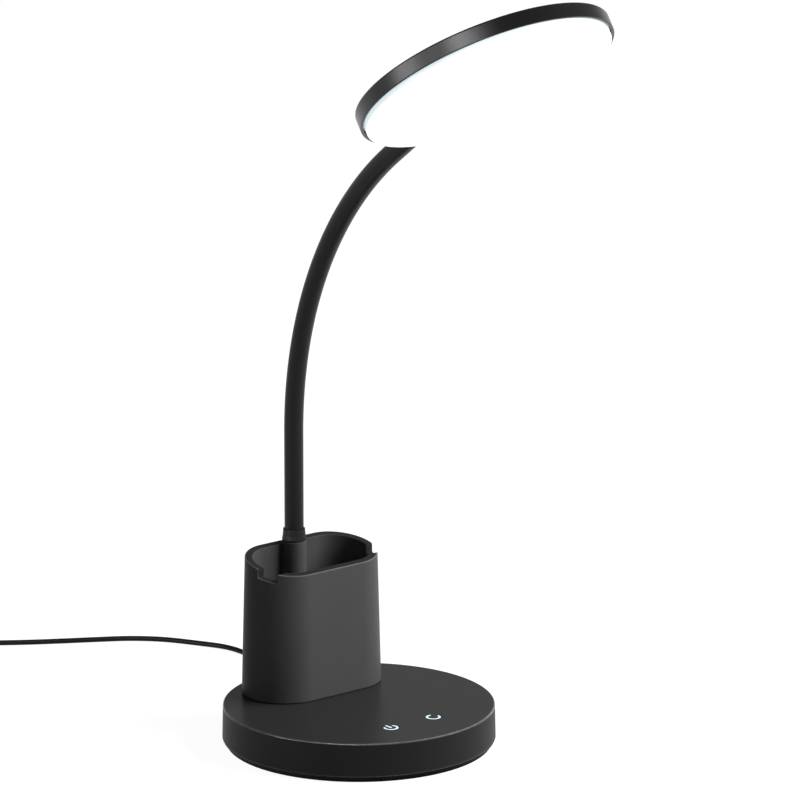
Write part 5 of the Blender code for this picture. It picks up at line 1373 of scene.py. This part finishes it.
link_steel = metal("link_steel", (0.48, 0.48, 0.49), 0.34, (1.0, 1.0, 0.06))
weight_steel = metal("cut_steel_plate", (0.33, 0.32, 0.31), 0.46, (0.05, 1.0, 1.0), 0.2)
gold = metal("contact_gold", (0.83, 0.60, 0.24), 0.22)
sheet = pale("reflector_sheet_white", (0.86, 0.86, 0.86), 0.55)
connector = pale("connector_white_nylon", (0.78, 0.77, 0.71), 0.5)
flex_white = pale("led_strip_white", (0.82, 0.82, 0.80), 0.45)
phosphor = pale(
    "led_phosphor_yellow", (0.85, 0.70, 0.22), 0.4, Emission_Color=(1.0, 0.9, 0.7), Emission_Strength=0.4
)

cord, cord_length = make_cord(cord_skin)
make_base(base_plastic, pad_rubber, cover_plastic)
make_icons(make_lit_icon_finish())
make_cup(cup_plastic)
make_neck(silicone, cord_skin)
make_boot(collar_rubber)
make_head(head_plastic, make_milky_finish())
make_relief(relief_rubber)
make_leds(flex_white, phosphor)
plug_pieces = make_plug(plug_plastic, plated, connector, gold)
tie = make_tie(strap_nylon)
settle(cord, "base", "cord_black", "power_cord", "power_cord_coil", "power_cord_tail")

CARRIED = {
    "counterweight": weight_steel, "control_board": make_board_finish(), "reflector_sheet": sheet,
    "retainer_plate": sheet, "light_guide": make_guide_finish(), "led_connector": connector,
    "power_icon_led": phosphor, "dimmer_icon_led": phosphor, "cord_inner_lead": cord_skin,
    "neck_root": link_steel,
}
for name, node in NODES.items():
    if not node.hide_render:
        finish = CARRIED.get(name) or (link_steel if name.startswith("neck_link") else plated)
        dress(node.data, finish.material)

# Room: how high its white walls reach, how bright its ceiling shows, and how strongly it lights
WALL_TOP = 0.14
CEILING_SHOWN = 0.33
ROOM_LIGHT = 0.10


def looked_at(rays):
    """1 for the rays of the camera and of mirrored or clear surfaces, 0 for those that only light."""
    mirrored = rays.out("Is Glossy Ray") + rays.out("Is Transmission Ray")
    return (rays.out("Is Camera Ray") + mirrored).at_most(1.0)


def make_floor():
    """A white sweep that goes on past every view. It shows white, and keeps a faint shadow."""
    shape = bmesh.new()
    bmesh.ops.create_grid(shape, x_segments=1, y_segments=1, size=9.0)
    data = bpy.data.meshes.new("white_floor")
    shape.to_mesh(data)
    shape.free()
    material = bpy.data.materials.new("white_sweep")
    material.use_nodes = True
    material.node_tree.nodes.clear()
    maker = Tree(material.node_tree)
    matt, faint = (
        maker.add("ShaderNodeBsdfDiffuse", {"Color": (level, level, level)}) for level in (0.35, 0.22)
    )
    glow = maker.add("ShaderNodeEmission", {"Color": (1.0, 1.0, 1.0), "Strength": 0.95})
    both = maker.add("ShaderNodeAddShader", {0: faint, 1: glow})
    shown = looked_at(maker.add("ShaderNodeLightPath"))
    chosen = maker.add("ShaderNodeMixShader", {0: shown, 1: matt, 2: both})
    below = maker.add("ShaderNodeNewGeometry").out("Backfacing")
    clear = maker.add("ShaderNodeBsdfTransparent")
    sided = maker.add("ShaderNodeMixShader", {0: below, 1: chosen, 2: clear})
    maker.add("ShaderNodeOutputMaterial", {"Surface": sided})
    floor = placed("white_floor", data)
    floor.location.z = -0.02 * MM
    dress(data, material)


def make_world():
    """A white room under a dim ceiling. The camera sees it white all over, and its own light is weak."""
    world = bpy.data.worlds.new("white_room")
    world.use_nodes = True
    bpy.context.scene.world = world
    maker = Tree(world.node_tree)
    rays = maker.add("ShaderNodeLightPath")
    shown = looked_at(rays)
    rise = maker.parts(maker.add("ShaderNodeTexCoord").out("Object"))[2]
    lit = shown * maker.step(rise, 0.0, WALL_TOP, 1.0, CEILING_SHOWN) + (1.0 - shown) * ROOM_LIGHT
    sky = world.node_tree.nodes["Background"]
    maker.feed(sky.inputs["Color"], (1.0, 1.0, 1.0))
    maker.feed(sky.inputs["Strength"], lit.at_least(rays.out("Is Camera Ray")))


def softbox(name, bearing, height, distance, width, tall, watts, mirrored=True):
    """An area light that faces the lamp from a bearing and a height angle in degrees.

    It shows in gloss and lights nothing else, or it lights and isn't mirrored.
    """
    data = bpy.data.lights.new(name, "AREA")
    data.shape = "RECTANGLE"
    data.size = width
    data.size_y = tall
    data.energy = watts
    light = placed(name, data)
    light.visible_glossy = mirrored
    light.visible_diffuse = not mirrored
    a, e = radians(bearing), radians(height)
    away = Vector((sin(a) * cos(e), -cos(a) * cos(e), sin(e)))
    place = Matrix.Translation(Vector((0.0, 0.0, 0.2)) + away * distance)
    light.matrix_world = place @ away.to_track_quat("Z", "Y").to_matrix().to_4x4()


make_floor()
make_world()
softbox("key_softbox", 48.0, 30.0, 1.5, 1.3, 0.8, 38.0, False)
softbox("front_softbox", -53.0, 39.5, 1.4, 0.72, 0.36, 15.0)
softbox("left_softbox", -102.0, 12.0, 1.4, 0.70, 0.52, 13.0)
softbox("side_softbox", -81.0, 27.0, 1.4, 0.38, 0.32, 2.6)
bpy.context.scene.view_settings.view_transform = "Standard"
